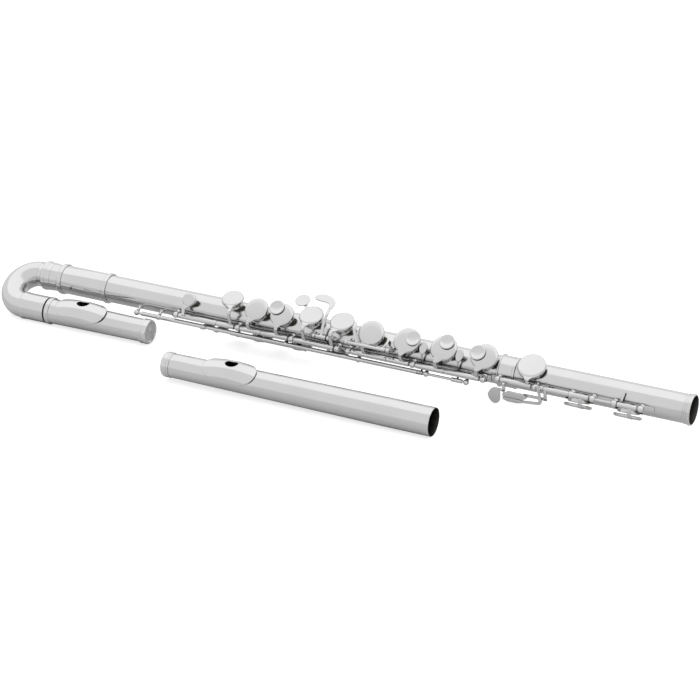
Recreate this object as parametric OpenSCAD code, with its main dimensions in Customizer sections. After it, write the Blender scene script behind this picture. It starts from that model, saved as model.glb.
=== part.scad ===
// Alto flute with a curved headjoint fitted and its spare straight headjoint beside it.
// The body axis is X, the open foot end is at the origin, Z is up and the player side is -Y.
// Roll angles are measured from straight up towards the player side.

/* [Tubes] */
// Outer radius of the body and foot tubes
tube_r = 13.4; // [13:0.1:14]
// Wall of every tube
wall = 0.45; // [0.35:0.05:0.6]
// Length of the foot joint, from its open end to the body tenon
foot_len = 169.3; // [165:0.1:172]
// Length of the socket that slides over the body tenon
socket_len = 14; // [12:0.5:18]
// Distance from the open foot end to the barrel's upper rim
barrel_top = 653; // [650:1:656]
// Length of the barrel
barrel_len = 56.5; // [52:0.5:58]
// Wall of the barrel
barrel_wall = 0.55; // [0.5:0.05:0.9]
// Wall of the foot socket
socket_wall = 0.85; // [0.6:0.05:1.2]
// Play between a tenon and its socket
tenon_play = 0.05; // [0.02:0.01:0.1]
// Outer radius of the ring at the open foot end
end_ring_r = 14.4; // [14:0.1:15]

/* [Tone holes] */
// Height of a chimney above the tube
chimney_h = 2.5; // [1.8:0.1:3.2]
// Height of the chimneys on the underside
low_chimney_h = 1.6; // [1.4:0.1:2.4]
// Height of the chimneys under the two lowest keys
foot_chimney_h = 0.9; // [0.8:0.1:1.6]
// Wall of a chimney
chimney_wall = 0.6; // [0.4:0.1:0.9]
// Roll angle of the main row of cups
row_roll = 32.5; // [30:0.5:36]
// Roll angle of the two offset G cups
g_roll = 15; // [13:0.5:18]

/* [Cups and pads] */
// Cup radius of the upper stack
upper_cup_r = 11.7; // [11:0.1:12]
// Cup radius of the lower stack
lower_cup_r = 12.8; // [12:0.1:13]
// Cup radius of the three foot keys
foot_cup_r = 13.1; // [12.4:0.1:13.4]
// Depth of a cup
cup_h = 3.3; // [2.8:0.1:3.8]
// Wall of a cup
cup_wall = 0.7; // [0.5:0.1:0.9]
// How far a pad stands out of its cup
pad_proud = 0.5; // [0.3:0.1:0.8]
// Gap left between a closed pad and its chimney
pad_seat = 0.12; // [0.05:0.01:0.2]
// How far an open key swings to close, in degrees
key_travel = 8; // [5:0.5:8]
// How far the two lowest keys swing to close, in degrees
low_travel = 5; // [4:0.5:6]
// How far the thumb keys swing to close, in degrees
thumb_travel = 6; // [4:0.5:7]
// Radius of the finger discs
disc_r = 7.4; // [6.5:0.1:8]
// Thickness of the finger discs
disc_h = 1.5; // [1.2:0.1:2]

/* [Hinges] */
// Distance of the main hinge line from the body axis
rod_dist = 20.5; // [20:0.1:21.5]
// Roll angle of the main hinge line
rod_roll = 98; // [96:1:100]
// Outer radius of the hinge tubes
hinge_r = 2.5; // [2.2:0.1:2.7]
// Radius of the steels
steel_r = 1.5; // [1.2:0.1:1.6]
// Distance of the trill rod from the body axis
trill_dist = 22; // [21.5:0.1:23]
// Roll angle of the trill rod
trill_roll = 115.5; // [115:0.5:117]
// Outer radius of the trill tube
trill_r = 2; // [1.8:0.1:2.1]
// Radius of the solid rod inside the trill tube
trill_core_r = 1.2; // [1:0.1:1.3]
// Distance of the thumb rod from the body axis
thumb_dist = 19; // [18.6:0.1:19.6]
// Roll angle of the thumb rod
thumb_roll = 137; // [135:1:139]
// Roll angle of the foot hinge line
foot_rod_roll = 88; // [86:1:90]
// Running play between a tube and its steel
run_play = 0.05; // [0.03:0.01:0.08]
// Radius of a post's ball head
ball_r = 3.1; // [2.9:0.1:3.3]
// Radius of a post's stem
stem_r = 1.3; // [1.1:0.1:1.5]
// Thickness of the ribs that carry the posts
rib_h = 0.9; // [0.7:0.1:1.1]
// Width of a key arm
arm_w = 3.4; // [2.8:0.1:3.8]
// Thickness of a key arm
arm_h = 1.6; // [1.2:0.1:1.8]

/* [Key places along the body] */
// C sharp key
c_sharp_x = -501; // [-503:0.5:-499]
// C key
c_x = -458; // [-459:0.5:-457]
// B flat key
b_flat_x = -429.5; // [-430:0.5:-429]
// A key
a_x = -402.5; // [-403:0.5:-402]
// Upper G cup
g_upper_x = -373.7; // [-374.2:0.1:-373.2]
// Lower G cup
g_lower_x = -341.6; // [-342:0.1:-341]
// F sharp key
f_sharp_x = -309.7; // [-310.2:0.1:-309.2]
// F key
f_x = -272.9; // [-273.4:0.1:-272.4]
// E key
e_x = -236; // [-236.5:0.1:-235.5]
// D key
d_x = -195.7; // [-196.2:0.1:-195.2]
// E flat key on the foot joint
e_flat_x = -150.6; // [-151:0.1:-150]
// Low C sharp key on the foot joint
low_c_sharp_x = -105.7; // [-106:0.1:-105]
// Low C key on the foot joint
low_c_x = -58.4; // [-59:0.1:-58]

/* [Curved headjoint] */
// Distance between the body axis and the mouth tube's axis
bend_gap = 40.6; // [39:0.1:44]
// Roll angle of the bend
bend_roll = 117; // [115:1:119]
// Outer radius of the bent tube
bend_r = 12.4; // [12:0.1:12.8]
// Where the bend starts, left of the foot end
bend_x = 675.8; // [674:0.1:678]
// Outer radius of the mouth tube at the bend
mouth_r = 12.3; // [12:0.1:12.5]
// Outer radius of the mouth tube at the crown
mouth_end_r = 11.1; // [10.8:0.1:11.4]
// Length of the mouth tube
mouth_len = 135; // [132:0.5:137]
// Distance of the embouchure hole from the bend
hole_from_bend = 68.8; // [66:0.1:70]
// Length of the lip plate along the tube
plate_len = 56; // [50:1:57]

/* [Spare straight headjoint] */
// Length of the spare headjoint with its crown
spare_len = 272; // [265:1:280]
// Outer radius at its tenon
spare_r = 13.35; // [13.2:0.05:13.4]
// Outer radius at its crown
spare_end_r = 11.5; // [11.2:0.1:11.8]
// Length of its parallel tenon
spare_tenon_len = 42; // [38:1:46]
// Place of its open end along the body
spare_x = -210.2; // [-212:0.1:-208]
// Distance of its open end from the body axis
spare_y = -91; // [-95:0.5:-88]
// Turn against the body axis in degrees
spare_yaw = 0.8; // [0:0.1:2]
// Distance of its embouchure hole from the end of its crown
spare_hole_to_crown = 70.5; // [66:0.5:74]

/* [Embouchure] */
// Half length of the embouchure hole along the tube
hole_a = 6.3; // [5.8:0.1:6.6]
// Half width of the embouchure hole across the tube
hole_b = 5.3; // [4.8:0.1:5.6]
// Height of the lip plate's top above the tube
plate_rise = 4.4; // [4:0.1:5]
// Thickness of the lip plate
plate_h = 1.1; // [0.9:0.1:1.4]
// Radius of the lip plate's roundness
plate_r = 14.3; // [14:0.1:15]
// Radius of the lip plate's bow along the tube
plate_bow = 120; // [100:5:160]
// How far the lip plate reaches down the tube's sides
plate_b = 14; // [12:0.5:14]
// Length of the crown
crown_len = 8.7; // [8:0.1:12]

/* [Hidden] */
$fn = 64;
eps = 0.01;

bore_r = tube_r - wall;
socket_r = tube_r + tenon_play;
barrel_r = socket_r + barrel_wall;
foot_socket_r = socket_r + socket_wall;
seam_x = -169.3; // where foot and body meet: the zero lies at the open end of a foot of this length
foot_end_x = seam_x + foot_len;
seat_h = tube_r + chimney_h;
low_seat_h = tube_r + low_chimney_h;
rib_top = tube_r + rib_h;
hole_margin = 2.9; // cup radius less chimney radius
small_cup_r = 6.8;
trill_cup_r = 5.8;
thumb_cup_r = 10.6;
g_sharp_cup_r = 9.6;
c_cup_r = upper_cup_r - 1;
c_roll = 12;
c_sharp_roll = 46;
thumb_cup_roll = 178;
g_sharp_roll = 158;
trill_cup_roll = 165;
low_roll = 157;
low_cup_h = 2.7;
foot_seat_h = tube_r + foot_chimney_h;
foot_pad_base = foot_seat_h + pad_seat + pad_proud;
tube_gap = 0.3; // between neighbouring hinge tubes
b_cup_x = -430;
b_flat_cup_x = -388;
g_sharp_x = -346;
d_trill_x = -471;
d_sharp_trill_x = -486;
g_sharp_rod = [20.6, 74];
side_rod = [27.8, 70.8];
side_r = 1.5;
side_steel_r = 0.9;
g_sharp_hinge_r = 2;

// Ends of the hinge tubes, from the barrel to the foot
c_sharp_span = [-509.4, -468.4];
c_span = [-468.1, -449.6];
b_flat_span = [-442.4, -421];
a_span = [-420.7, -392.6];
g_span = [-385.4, -344.4];
f_sharp_span = [-325.6, -290];
f_span = [-289.7, -267.3];
e_span = [-260.1, -232];
d_span = [-231.7, -197];
upper_posts = [-513, -446, -389, -341];
lower_posts = [-329.2, -263.7, -193.6];
g_sharp_span = [-363, -352.9];
g_sharp_posts = [-365.5, -350.5];
side_span = [-326.6, -288.6];
side_posts = [-328.6, -286.6];
trill_posts = [-557, -533, -395, -319, -250];
trill_end_post = -210;
trill_tube_span = [-478, -253.3];
d_sharp_sleeve = [-552, -481];
d_sharp_touch_sleeve = [-224.5, -214];
d_trill_touch_x = -255.6;
d_sharp_touch_x = -219.5;
thumb_b_span = [-446, -417];
thumb_b_flat_span = [-416.7, -381];
thumb_posts = [-449.4, -377.6];
foot_posts = [-179.3, -142.8, -108, -88, -67.4, -42.6];
e_flat_span = [-175.9, -146.4];
low_c_touch_span = [-139.4, -134.4];
low_c_sharp_span = [-134.1, -91.3];
low_c_sleeve_span = [-64, -46];
low_hinge_r = 2.3;
foot_core_r = 1.2;
foot_hinge_r = 2.5;

// Turns children from straight up to a roll angle at a place along the body
module at(x, roll) {
    translate([x, 0, 0]) rotate([roll, 0, 0]) children();
}

// Turns children about a hinge line by an angle
module swung(dist, roll, angle) {
    y = -dist * sin(roll);
    z = dist * cos(roll);
    translate([0, y, z]) rotate([angle, 0, 0]) translate([0, -y, -z]) children();
}

// A rod along X between two places
module rod(span, r) {
    translate([span[0], 0, 0]) rotate([0, 90, 0]) cylinder(r = r, h = span[1] - span[0]);
}

// A rod on a hinge line
module line_rod(span, r, dist, roll) {
    at(0, roll) translate([0, 0, dist]) rod(span, r);
}

// Keeps the bore of a hinge line free in its children
module bored(span, bore, dist, roll) {
    difference() {
        union() children();
        line_rod([span[0] - 1, span[1] + 1], bore, dist, roll);
    }
}

// A hinge tube with its bore
module hinge(span, r, bore, dist, roll) {
    bored(span, bore, dist, roll) line_rod(span, r, dist, roll);
}

// Place of a hinge line in the frame of a cup: [across, up]
function seen(dist, roll, frame) = [-dist * sin(roll - frame), dist * cos(roll - frame)];

// Unit normals of a path, used to give a band its width
function unit(v) = v / norm(v);
function along(p, i) = unit(p[min(i + 1, len(p) - 1)] - p[max(i - 1, 0)]);
function side_of(p, i) = [-along(p, i)[1], along(p, i)[0]];
function band(p, w) = concat(
    [for (i = [0:len(p) - 1]) p[i] + side_of(p, i) * w / 2],
    [for (i = [len(p) - 1:-1:0]) p[i] - side_of(p, i) * w / 2]);

// A bent strip that follows a path across the tube, as wide as w along X
module strip(x, frame, path, w, h) {
    at(x, frame) translate([-w / 2, 0, 0]) rotate([90, 0, 90])
        linear_extrude(w) polygon(band(path, h));
}

// Points of an arc about the body axis, as [across, up] in a frame
function arc(r0, a0, r1, a1, n) = [for (i = [0:n])
    let(t = i / n, r = r0 + (r1 - r0) * t, a = a0 + (a1 - a0) * t) [-r * sin(a), r * cos(a)]];

// An outline with round ends, from elliptic half axes
function ellipse(a, b, n) = [for (i = [0:n - 1]) [a * cos(360 * i / n), b * sin(360 * i / n)]];

// A shallow cup: flat crown with a rounded shoulder, open below for its pad
module cup(r, base, h = cup_h) {
    translate([0, 0, base]) rotate_extrude() polygon([[0, h], [r - 2.2, h - 0.1], [r - 1.1, h - 0.35],
        [r - 0.4, h - 0.9], [r, h - 1.7], [r, 0], [r - cup_wall, 0], [r - cup_wall, h - 1.4], [0, h - 1.1]]);
}

// A pad: a disc of felt that stands a little out of the cup
module pad(r, base, h = cup_h) {
    translate([0, 0, base - pad_proud]) cylinder(r = r - cup_wall - 0.04, h = pad_proud + h - 1.45);
}

// A chimney with its outer and inner radius from the cup it serves
module chimney(r, seat) {
    translate([0, 0, bore_r - 4]) cylinder(r = r - hole_margin, h = seat - bore_r + 4);
}
module chimney_bore(r, seat) {
    translate([0, 0, bore_r - 7]) cylinder(r = r - hole_margin - chimney_wall, h = seat + 8 - bore_r);
}

// Keeps an arm out of the space for the pad
module clear_of_pad(r, base, h = cup_h) difference() {
    children();
    translate([0, 0, base - 3]) cylinder(r = r - cup_wall, h = h + 1.6);
}

// The arm of a cup: a bar from the hinge tube to the cup's side, flared where it joins
module arm(dx, r, base, line) clear_of_pad(r, base) {
    y = line[0];
    z = line[1];
    rise = base + cup_h - 1.6;
    translate([dx - arm_w / 2, 0, 0]) rotate([90, 0, 90]) linear_extrude(arm_w)
        polygon(band([[y + 0.6, z + 1.7], [y + 0.9, z + 3.4], [y + 2.1, rise - 1.3], [-r - 1.4, rise],
            [-r + 1.5, rise]], arm_h));
    translate([0, 0, rise - arm_h / 2]) linear_extrude(arm_h)
        polygon([[dx - arm_w / 2, -r - 1.8], [dx + arm_w / 2, -r - 1.8], [dx / 2 + 4.6, -r + 1.6],
            [dx / 2 - 4.6, -r + 1.6]]);
}

// A finger disc, slightly dished, on a short foot
module finger_disc(base) {
    translate([0, 0, base]) {
        rotate_extrude() polygon([[0, 0], [disc_r - 0.7, 0], [disc_r, 0.5], [disc_r, disc_h - 0.3],
            [disc_r - 0.4, disc_h], [disc_r - 1.2, disc_h], [disc_r * 0.5, disc_h - 0.35],
            [0, disc_h - 0.45]]);
        translate([0, 0, -0.9]) cylinder(r = 2.6, h = 1);
    }
}

pad_base = seat_h + pad_seat + pad_proud;
low_pad_base = low_seat_h + pad_seat + pad_proud;

// A post: stem from the tube's surface to its ball, bored for the steel
module post(x, dist, roll, ball, bore, surface = tube_r) {
    difference() {
        union() {
            at(x, roll) translate([0, 0, surface - 0.6]) cylinder(r = stem_r, h = dist - surface + 0.6);
            at(x, roll) translate([0, 0, surface - 0.6]) cylinder(r1 = stem_r + 1, r2 = stem_r, h = 2.4);
            at(x, roll) translate([0, 0, dist]) sphere(r = ball);
        }
        line_rod([x - ball - 1, x + ball + 1], bore, dist, roll);
        rod([x - 9, x + 9], surface + 0.02);
    }
}

// A rib: a strap that lies on the tube between two roll angles
module rib(span, roll_a, roll_b) {
    n = 10;
    outer = [for (i = [0:n]) let(a = roll_a + (roll_b - roll_a) * i / n) rib_top * [-sin(a), cos(a)]];
    inner = [for (i = [n:-1:0]) let(a = roll_a + (roll_b - roll_a) * i / n)
        (tube_r - 1) * [-sin(a), cos(a)]];
    difference() {
        translate([span[0], 0, 0]) rotate([90, 0, 90]) linear_extrude(span[1] - span[0])
            polygon(concat(outer, inner));
        rod([span[0] - 1, span[1] + 1], tube_r + 0.02);
    }
}

// [place, roll angle, cup radius, seat height] of every hole in the body
body_holes = [
    [c_sharp_x, c_sharp_roll, small_cup_r, seat_h],
    [c_x, c_roll, c_cup_r, seat_h],
    [b_flat_x, row_roll, upper_cup_r, seat_h],
    [a_x, row_roll, upper_cup_r, seat_h],
    [g_upper_x, g_roll, upper_cup_r, seat_h],
    [g_lower_x, g_roll, upper_cup_r, seat_h],
    [f_sharp_x, row_roll, lower_cup_r, seat_h],
    [f_x, row_roll, lower_cup_r, seat_h],
    [e_x, row_roll, lower_cup_r, seat_h],
    [d_x, row_roll, lower_cup_r, seat_h],
    [d_trill_x, trill_cup_roll, trill_cup_r, low_seat_h],
    [d_sharp_trill_x, trill_cup_roll, trill_cup_r, low_seat_h],
    [b_cup_x, thumb_cup_roll, thumb_cup_r, low_seat_h],
    [b_flat_cup_x, thumb_cup_roll, thumb_cup_r, low_seat_h],
    [g_sharp_x, g_sharp_roll, g_sharp_cup_r, low_seat_h]];
foot_holes = [
    [e_flat_x, row_roll, foot_cup_r, seat_h],
    [low_c_sharp_x, low_roll, foot_cup_r, foot_seat_h],
    [low_c_x, low_roll, foot_cup_r, foot_seat_h]];

module body_tube() color("gainsboro") {
    top = -barrel_top + barrel_len - 12;
    difference() {
        union() {
            rod([top, seam_x - 0.3], tube_r);
            for (h = body_holes) at(h[0], h[1]) chimney(h[2], h[3]);
        }
        rod([top - 1, seam_x + 1], bore_r);
        for (h = body_holes) at(h[0], h[1]) chimney_bore(h[2], h[3]);
    }
}

module barrel() color("silver") {
    left = -barrel_top;
    right = left + barrel_len;
    difference() {
        union() {
            rod([left, right], barrel_r);
            bead_ring(left + 1, barrel_r, 4.8, 1.3);
            bead_ring(right - 4.2, barrel_r, 4.2, 1.1);
        }
        rod([left - 1, right + 1], socket_r);
    }
}

// A turned bead around the tube, from x, with its height over the radius
module bead_ring(x, r, w, h) {
    translate([x, 0, 0]) rotate([0, 90, 0]) rotate_extrude()
        polygon([[r - 0.4, 0], [r + h * 0.6, 0], [r + h, w * 0.25], [r + h, w * 0.75],
            [r + h * 0.6, w], [r - 0.4, w]]);
}

module body_ribs() color("silver") {
    rib([-560, seam_x - socket_len - 4.7], 92, 120);
    for (x = upper_posts) post(x, rod_dist, rod_roll, ball_r, steel_r + 0.02);
    for (x = lower_posts) post(x, rod_dist, rod_roll, ball_r, steel_r + 0.02);
    post(trill_posts[0], trill_dist, trill_roll, 2.7, trill_core_r + run_play);
    post(trill_posts[1], trill_dist, trill_roll, 2.7, trill_r + run_play);
    for (x = [trill_posts[2], trill_posts[3]]) post(x, trill_dist, trill_roll, 2.9, trill_r + run_play);
    for (x = [trill_posts[4], trill_end_post]) post(x, trill_dist, trill_roll, 2.7, trill_core_r + run_play);
    for (x = g_sharp_posts) post(x, g_sharp_rod[0], g_sharp_rod[1], 2.1, side_steel_r + 0.02);
    for (x = side_posts) post(x, side_rod[0], side_rod[1], 1.9, side_steel_r + 0.02);
    for (x = thumb_posts) post(x, thumb_dist, thumb_roll, 2.5, side_steel_r + 0.02);
}

module upper_steel() color("dimgray") {
    line_rod([upper_posts[0] - 3, upper_posts[3] + 3], steel_r, rod_dist, rod_roll);
    for (s = [[upper_posts[0] - 4, upper_posts[0] - 3], [upper_posts[3] + 3, upper_posts[3] + 4]])
        line_rod(s, steel_r + 0.3, rod_dist, rod_roll);
}

module lower_steel() color("dimgray") {
    line_rod([lower_posts[0] - 3, lower_posts[2] + 3], steel_r, rod_dist, rod_roll);
    for (s = [[lower_posts[0] - 4, lower_posts[0] - 3], [lower_posts[2] + 3, lower_posts[2] + 4]])
        line_rod(s, steel_r + 0.3, rod_dist, rod_roll);
}

module thumb_steel() color("dimgray") {
    line_rod([thumb_posts[0] - 2.4, thumb_posts[1] + 2.4], side_steel_r, thumb_dist, thumb_roll);
}

module side_steels() color("dimgray") {
    line_rod([g_sharp_posts[0] - 2.4, g_sharp_posts[1] + 2.4], side_steel_r, g_sharp_rod[0], g_sharp_rod[1]);
    line_rod([side_posts[0] - 2.4, side_posts[1] + 2.4], side_steel_r, side_rod[0], side_rod[1]);
}

// Thin wires that stand in the posts and push the keys back
module needle_springs() color("steelblue") {
    for (x = [upper_posts[1], upper_posts[2], lower_posts[1]]) for (s = [-1, 1])
        at(0, rod_roll + 3) translate([0, 0, rod_dist - 4.2])
            rod(s > 0 ? [x + stem_r + 0.02, x + 6.4] : [x - 6.4, x - stem_r - 0.02], 0.3);
}

// Cork pads under the arms' tails, glued to the tube
module key_bumpers() color("peru") {
    for (x = [b_flat_x - 3, a_x - 3, f_sharp_x - 3, f_x - 3, e_x - 3, d_x - 3])
        difference() {
            at(x, 84) translate([-1.5, -1.2, tube_r - 0.4]) cube([3, 2.4, 1.4]);
            rod([x - 4, x + 4], tube_r + 0.02);
        }
}

// A main-row key: hinge tube, arm and cup, standing open
module row_key(x, roll, r, span, dx, angle) {
    hinge(span, hinge_r, steel_r + run_play, rod_dist, rod_roll);
    swung(rod_dist, rod_roll, angle) at(x, roll) {
        cup(r, pad_base);
        arm(dx, r, pad_base, seen(rod_dist, rod_roll, roll));
    }
}
module row_pad(x, roll, r, angle) {
    swung(rod_dist, rod_roll, angle) at(x, roll) pad(r, pad_base);
}

module c_sharp_key() color("gainsboro")
    row_key(c_sharp_x, c_sharp_roll, small_cup_r, c_sharp_span, -3, key_travel);
module c_sharp_pad() color("wheat") row_pad(c_sharp_x, c_sharp_roll, small_cup_r, key_travel);
module c_key() color("gainsboro") row_key(c_x, c_roll, c_cup_r, c_span, 4.5, key_travel);
module c_pad() color("wheat") row_pad(c_x, c_roll, c_cup_r, key_travel);
module b_flat_key() color("gainsboro")
    row_key(b_flat_x, row_roll, upper_cup_r, b_flat_span, -3.6, key_travel);
module b_flat_pad() color("wheat") row_pad(b_flat_x, row_roll, upper_cup_r, key_travel);

// A key with a finger disc set off from the middle of its cup
module touched_key(x, r, span, dx, off) {
    row_key(x, row_roll, r, span, dx, key_travel);
    swung(rod_dist, rod_roll, key_travel) at(x, row_roll)
        translate([off[0], off[1], 0]) finger_disc(pad_base + cup_h + 0.3);
}

module a_key() color("gainsboro") touched_key(a_x, upper_cup_r, a_span, -0.8, [-6.2, 5]);
module a_pad() color("wheat") row_pad(a_x, row_roll, upper_cup_r, key_travel);
module f_key() color("gainsboro") touched_key(f_x, lower_cup_r, f_span, -1.6, [6.2, 2.1]);
module f_pad() color("wheat") row_pad(f_x, row_roll, lower_cup_r, key_travel);
module e_key() color("gainsboro") touched_key(e_x, lower_cup_r, e_span, -3.4, [2.1, 5.6]);
module e_pad() color("wheat") row_pad(e_x, row_roll, lower_cup_r, key_travel);
module d_key() color("gainsboro") touched_key(d_x, lower_cup_r, d_span, -3.2, [-6.4, 1.3]);
module d_pad() color("wheat") row_pad(d_x, row_roll, lower_cup_r, key_travel);
module f_sharp_key() color("gainsboro")
    row_key(f_sharp_x, row_roll, lower_cup_r, f_sharp_span, -3, key_travel);
module f_sharp_pad() color("wheat") row_pad(f_sharp_x, row_roll, lower_cup_r, key_travel);

// Two offset cups on one tube, with the finger disc on a link beyond the upper cup
module g_key() color("gainsboro") {
    disc_at = [-15.3, 14.3];
    row_key(g_upper_x, g_roll, upper_cup_r, g_span, -1.4, key_travel);
    swung(rod_dist, rod_roll, key_travel) {
        at(g_lower_x, g_roll) {
            cup(upper_cup_r, pad_base);
            arm(-4.7, upper_cup_r, pad_base, seen(rod_dist, rod_roll, g_roll));
        }
        at(g_upper_x, g_roll) {
            translate([disc_at[0], disc_at[1], 0]) finger_disc(pad_base + cup_h - 0.6);
            translate([0, 0, pad_base + cup_h - 1.4]) linear_extrude(1.1)
                polygon([[-5.4, 7.6], [-7.6, 5.4], [disc_at[0] - 1.4, disc_at[1] - 1.4],
                    [disc_at[0] + 1.4, disc_at[1] + 1.4]]);
        }
    }
}
module g_pads() color("wheat") {
    row_pad(g_upper_x, g_roll, upper_cup_r, key_travel);
    row_pad(g_lower_x, g_roll, upper_cup_r, key_travel);
}

// Side key over the tube with a kidney-shaped touch, its closed cup on the underside
module g_sharp_key() color("gainsboro") {
    hinge(g_sharp_span, g_sharp_hinge_r, side_steel_r + run_play, g_sharp_rod[0], g_sharp_rod[1]);
    frame = 18;
    start = seen(g_sharp_rod[0], g_sharp_rod[1], frame);
    arm_x = -357.6;
    strip(arm_x, frame, concat([start + [0.4, 1.4]], arc(20.6, 44, 22.6, 14, 6), [[-1.4, 24.2], [3.4, 25.8],
        [7.6, 26.2]]), 3, 1.5);
    at(0, frame) translate([0, 0, 25.4]) linear_extrude(1.6) polygon([
        [arm_x - 1.5, 6.4], [arm_x + 1.5, 6.4], [arm_x + 2.6, 11], [arm_x + 2.2, 15.5], [arm_x - 0.4, 19.4],
        [arm_x - 5, 22.4], [arm_x - 10.6, 24], [arm_x - 16, 23.2], [arm_x - 19.6, 20.6],
        [arm_x - 20.4, 17.8], [arm_x - 18.6, 15.6], [arm_x - 14.6, 14.4], [arm_x - 9, 14.2],
        [arm_x - 4.6, 13], [arm_x - 2.2, 10.4]]);
    difference() {
        strip(g_sharp_x - g_sharp_cup_r + 1.2, 0, concat([[-18.9, 4.4]], arc(18, 82, 15.6, 94, 2),
            arc(15.4, 100, 15.6, 132, 6), arc(16.2, 137, 17, 142, 2)), 2.6, 1.2);
        at(g_sharp_x, g_sharp_roll) translate([0, 0, low_pad_base - 3])
            cylinder(r = g_sharp_cup_r - cup_wall, h = cup_h + 1.6);
    }
    at(g_sharp_x, g_sharp_roll) cup(g_sharp_cup_r, low_pad_base);
}
module g_sharp_pad() color("wheat") at(g_sharp_x, g_sharp_roll) pad(g_sharp_cup_r, low_pad_base);

// Side lever: a tube beside the F sharp cup with a curved blade between the stacks and a tail
module side_lever() color("gainsboro") {
    bored(side_span, side_steel_r + run_play, side_rod[0], side_rod[1]) {
        line_rod(side_span, side_r, side_rod[0], side_rod[1]);
        blade(45, 25.3, 26.8, [[-317.2, -12.6], [-318.6, -9.4], [-321.6, -4.4], [-324, 0.6],
            [-325.2, 5.5], [-325.8, 9.4]], 2.8);
        blade(45, 25.3, 28, [[-317.8, -11], [-316, -13.6]], 3);
        strip(-292.6, 0, concat(arc(26.8, 69.6, 20.4, 62, 3), arc(17.8, 55, 15.4, 38, 4)), 2.4, 1.1);
    }
}

// A blade that follows the tube's roundness: a path in the plane of a roll angle, as wide as w
module blade(roll, r0, r1, path, w) {
    intersection() {
        at(0, roll) linear_extrude(40) polygon(band(path, w));
        difference() {
            rod([-700, 0], r1);
            rod([-701, 1], r0);
        }
    }
}

// A trill touch: a pointed oval on a stem that passes inside the main hinge line
module trill_touch(x, sleeve, bore) {
    hinge(sleeve, trill_r, bore, trill_dist, trill_roll);
    strip(x, 0, concat(arc(20.2, 118, 17.2, 114, 2), arc(16.3, 108, 15.8, 92, 4),
        arc(16.2, 84, 19.2, 64, 4)), 1.8, 1.1);
    at(x, 50) translate([0, 0.8, 18.8]) linear_extrude(1.3)
        polygon([for (i = [0:31]) let(a = 360 * i / 32)
            [3.8 * cos(a) * (1 + 0.16 * sin(a)), 5.8 * sin(a)]]);
}

// A small closed cup on the underside, with its arm from the trill rod
module trill_cup(x) {
    line = seen(trill_dist, trill_roll, trill_cup_roll);
    at(x, trill_cup_roll) {
        cup(trill_cup_r, low_pad_base);
        clear_of_pad(trill_cup_r, low_pad_base) translate([-1.3, 0, 0]) rotate([90, 0, 90])
            linear_extrude(2.6) polygon(band([line + [-0.9, 1.2], line + [-2, 3],
                [trill_cup_r + 2, low_pad_base + 2.3], [trill_cup_r - 0.6, low_pad_base + 2.3]], 1.1));
    }
}

module d_trill_key() color("gainsboro") {
    hinge(trill_tube_span, trill_r, trill_core_r + run_play, trill_dist, trill_roll);
    trill_touch(d_trill_touch_x, [-259.5, trill_tube_span[1]], trill_core_r + run_play);
    trill_cup(d_trill_x);
}
module d_trill_pad() color("wheat") at(d_trill_x, trill_cup_roll) pad(trill_cup_r, low_pad_base);

module d_sharp_trill_key() color("gainsboro") {
    line_rod([trill_posts[0] - 2.6, trill_end_post + 2.6], trill_core_r, trill_dist, trill_roll);
    line_rod(d_sharp_sleeve, trill_r, trill_dist, trill_roll);
    trill_touch(d_sharp_touch_x, d_sharp_touch_sleeve, trill_core_r - 0.1);
    trill_cup(d_sharp_trill_x);
}
module d_sharp_trill_pad() color("wheat") at(d_sharp_trill_x, trill_cup_roll) pad(trill_cup_r, low_pad_base);

// A thumb key on the underside: cup, tube and arm, standing open
module thumb_cup(x, span) {
    hinge(span, g_sharp_hinge_r, side_steel_r + run_play, thumb_dist, thumb_roll);
    line = seen(thumb_dist, thumb_roll, thumb_cup_roll);
    swung(thumb_dist, thumb_roll, -thumb_travel) at(x, thumb_cup_roll) {
        cup(thumb_cup_r, low_pad_base);
        clear_of_pad(thumb_cup_r, low_pad_base) translate([-arm_w / 2, 0, 0])
            rotate([90, 0, 90]) linear_extrude(arm_w) polygon(band([line + [-1.2, 1.4],
                line + [-1.6, 3], [thumb_cup_r - 1, low_pad_base + 2]], 1.3));
    }
}
module thumb_b_key() color("gainsboro") {
    thumb_cup(b_cup_x, thumb_b_span);
    thumb_plate([-466, -443.4], -444.6);
}
module thumb_b_pad() color("wheat") thumb_pad(b_cup_x);
module thumb_b_flat_key() color("gainsboro") {
    thumb_cup(b_flat_cup_x, thumb_b_flat_span);
    thumb_plate([-417.6, -403], -410.5);
}
module thumb_b_flat_pad() color("wheat") thumb_pad(b_flat_cup_x);
module thumb_pad(x)
    swung(thumb_dist, thumb_roll, -thumb_travel) at(x, thumb_cup_roll) pad(thumb_cup_r, low_pad_base);

// A thumb touch: a plate under the tube, seen edge-on, with an arm up to the thumb tube
module thumb_plate(span, arm_x) {
    plate_z = 19.2;
    line = seen(thumb_dist, thumb_roll, 152);
    at(0, 152) translate([0, 0, plate_z]) linear_extrude(1.3) polygon([[span[0] + 1.5, -9], [span[0], -11],
        [span[0], -16], [span[0] + 3, -19.6], [span[0] + 6, -20.2], [span[1] - 5, -20.2],
        [span[1] - 1.5, -18.4], [span[1], -15], [span[1], -8], [span[1] - 1, -7]]);
    strip(arm_x, 152, [line + [-0.6, 1.5], [0.6, plate_z + 0.2], [-7, plate_z + 0.65],
        [-9.5, plate_z + 0.65]], 2.4, 1.3);
}

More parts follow.
